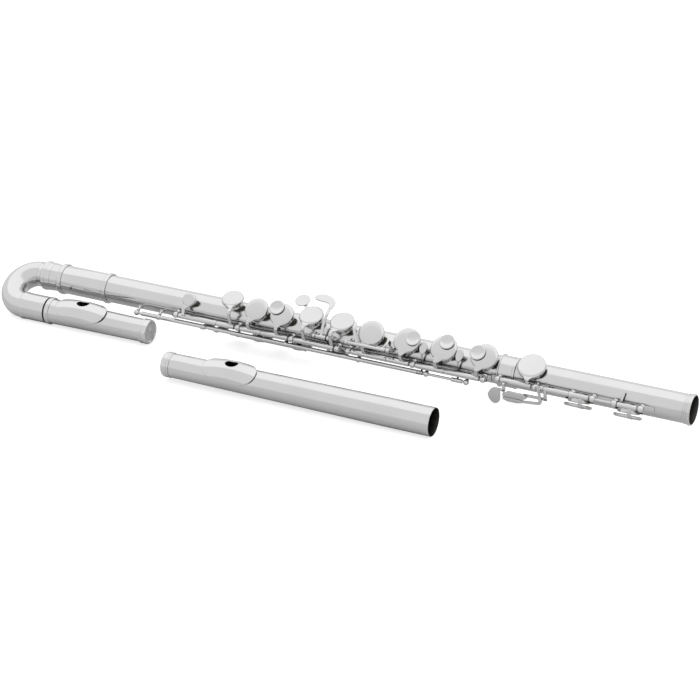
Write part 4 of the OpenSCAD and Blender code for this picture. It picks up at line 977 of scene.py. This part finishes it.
def addPost(piece, x, line, ball, bore, surface):  # flared foot, stem, neck collar and bored ball
    dist, stem, foot = line[0], mounts["stem"], mounts["foot"]
    neck = dist - ball * cos(radians(28))
    outline = [(0, surface - 0.3), (foot, surface - 0.3), (foot, surface + 0.35),
               (foot - 0.45, surface + 0.65), (stem + 0.15, surface + 1.1), (stem, surface + 1.7)]
    if neck - surface > 2.6:
        outline += [(stem, neck - 0.75), (stem + 0.4, neck - 0.6), (stem + 0.4, neck - 0.25),
                    (stem, neck - 0.1)]
    profile = eased(flat(outline), 0.15, 2)
    for i in range(19):
        a = radians(152 * (1 - i / 18))
        profile.append(Vector((ball * sin(a), dist + ball * cos(a))))
    part, drill = bmesh.new(), bmesh.new()
    turned(part, profile, steps=36)
    addPin(drill, bore, -ball - 1, ball + 1, Matrix.Translation((0, 0, dist)) @ lengthwise, 36)
    cutAway(part, drill)
    pour(piece, part, around(x, line[1]))


def makePosts(name, node, body, values):  # a strap and the posts of one joint of the flute
    piece = bmesh.new()
    addStrap(piece, *values["strap"])
    for places, *shape in values["posts"]:
        for x in places:
            addPost(piece, x, *shape)
    finishPiece(name, piece, body, [fittingSilver], node)


makePosts("bodyPosts", "body_ribs", "flute_body", bodyMounts)
makePosts("footPosts", "foot_ribs", "foot_joint", footMounts)

steels = dict(radius=1.5, head=1.8, slot=0.45, upper=(-517, -337), lower=(-333.2, -189.6))


def makeSteel(name, node, span):  # a pivot rod with a slotted screw head at each end
    piece = bmesh.new()
    radius, head, half = steels["radius"], steels["head"], (span[1] - span[0]) / 2
    for side, x in ((0, span[0]), (pi, span[1])):
        part, slot = bmesh.new(), bmesh.new()
        profile = flat([(0, 0), (head - 0.35, 0), (head, 0.35), (head, 1), (radius, 1.05), (radius, half),
                        (0, half)])
        turned(part, profile, steps=40)
        bmesh.ops.create_cube(slot, size=1, matrix=Matrix.Diagonal((steels["slot"], 4, 1, 1)))
        cutAway(part, slot)
        pour(piece, part, onLine(rodLine, x) @ Matrix.Rotation(side, 4, "X"))
    finishPiece(name, piece, "flute_body", [rodSteel], node)


makeSteel("upperSteel", "upper_steel", steels["upper"])
makeSteel("lowerSteel", "lower_steel", steels["lower"])
print("posts and steels made")

# The nodes that stay as they are
plain = dict(thumb_steel=rodSteel, side_steels=rodSteel, foot_steel=rodSteel, needle_springs=springSteel,
             key_bumpers=bumperCork, head_cork=cork, spare_cork=cork)


def dress(node, material):
    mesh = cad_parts[node].data
    mesh.materials.clear()
    mesh.materials.append(material)


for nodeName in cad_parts:
    if nodeName.endswith("_pad") or nodeName == "g_pads":
        dress(nodeName, pads)
    else:
        dress(nodeName, plain.get(nodeName, keySilver))

# White paper under and around the flute, a bright room and one large softbox. Heights in millimetres,
# the rest in metres and watts
studio = dict(floorHeight=-30.6, floorSize=9.0, paper="#CFCFCF", glow=0.6, glowMirrored=0.1, world=0.85,
              mirrored=0.95, lampSpot=(-0.35, 0.75, 1.6), lampAim=(-0.35, 0.45, 0.0), lampSize=(5.0, 2.6),
              lampPower=13.5)


def seenRays(tree):  # outputs that are 1 where the camera looks: straight or through glass, or also mirrored
    path = addNode(tree, "ShaderNodeLightPath").outputs
    direct = addNode(tree, "ShaderNodeMath",
                     links={0: path["Is Camera Ray"], 1: path["Is Transmission Ray"]},
                     operation="MAXIMUM").outputs[0]
    mirrored = addNode(tree, "ShaderNodeMath", links={0: direct, 1: path["Is Glossy Ray"]},
                       operation="MAXIMUM").outputs[0]
    return direct, mirrored


def makeFloor(values):  # paper that glows white to the camera and keeps the shadow
    piece = bmesh.new()
    bmesh.ops.create_grid(piece, x_segments=1, y_segments=1, size=values["floorSize"])
    mesh = bpy.data.meshes.new("floor")
    piece.to_mesh(mesh)
    piece.free()
    floor = addObject("floor", mesh)
    floor.location.z = values["floorHeight"] * perMetre
    material, tree, _ = startMaterial("whitePaperFloor")
    direct, mirrored = seenRays(tree)
    faint = addNode(tree, "ShaderNodeMath", {1: values["glowMirrored"]}, {0: mirrored}, operation="MULTIPLY")
    glow = addNode(tree, "ShaderNodeMath", {1: values["glow"]}, {0: direct, 2: faint.outputs[0]},
                   operation="MULTIPLY_ADD")
    endMaterial(tree, {"Base Color": linear(values["paper"]), "Roughness": 0.9,
                       "Emission Color": (1, 1, 1, 1)}, {"Emission Strength": glow.outputs[0]})
    mesh.materials.append(material)


def makeWorld(values):
    world = bpy.data.worlds.new("studioWorld")
    world.use_nodes = True
    bpy.context.scene.world = world
    tree = world.node_tree
    tree.nodes.clear()
    strength = addNode(tree, "ShaderNodeMix", data_type="FLOAT", links={"Factor": seenRays(tree)[1]})
    strength.inputs["A"].default_value = values["world"]
    strength.inputs["B"].default_value = values["mirrored"]
    shade = addNode(tree, "ShaderNodeBackground", {"Color": (1, 1, 1, 1)},
                    {"Strength": strength.outputs["Result"]})
    addNode(tree, "ShaderNodeOutputWorld", links={"Surface": shade.outputs["Background"]})


def makeLamp(values):  # a wide softbox above and behind
    data = bpy.data.lights.new("softboxTop", "AREA")
    data.shape = "RECTANGLE"
    data.size, data.size_y = values["lampSize"]
    data.energy = values["lampPower"]
    spot = Vector(values["lampSpot"])
    turn = (spot - Vector(values["lampAim"])).to_track_quat("Z", "Y").to_matrix().to_4x4()
    addObject("softboxTop", data).matrix_world = Matrix.Translation(spot) @ turn


makeFloor(studio)
makeWorld(studio)
makeLamp(studio)
bpy.context.scene.view_settings.view_transform = "Standard"
print("studio made")
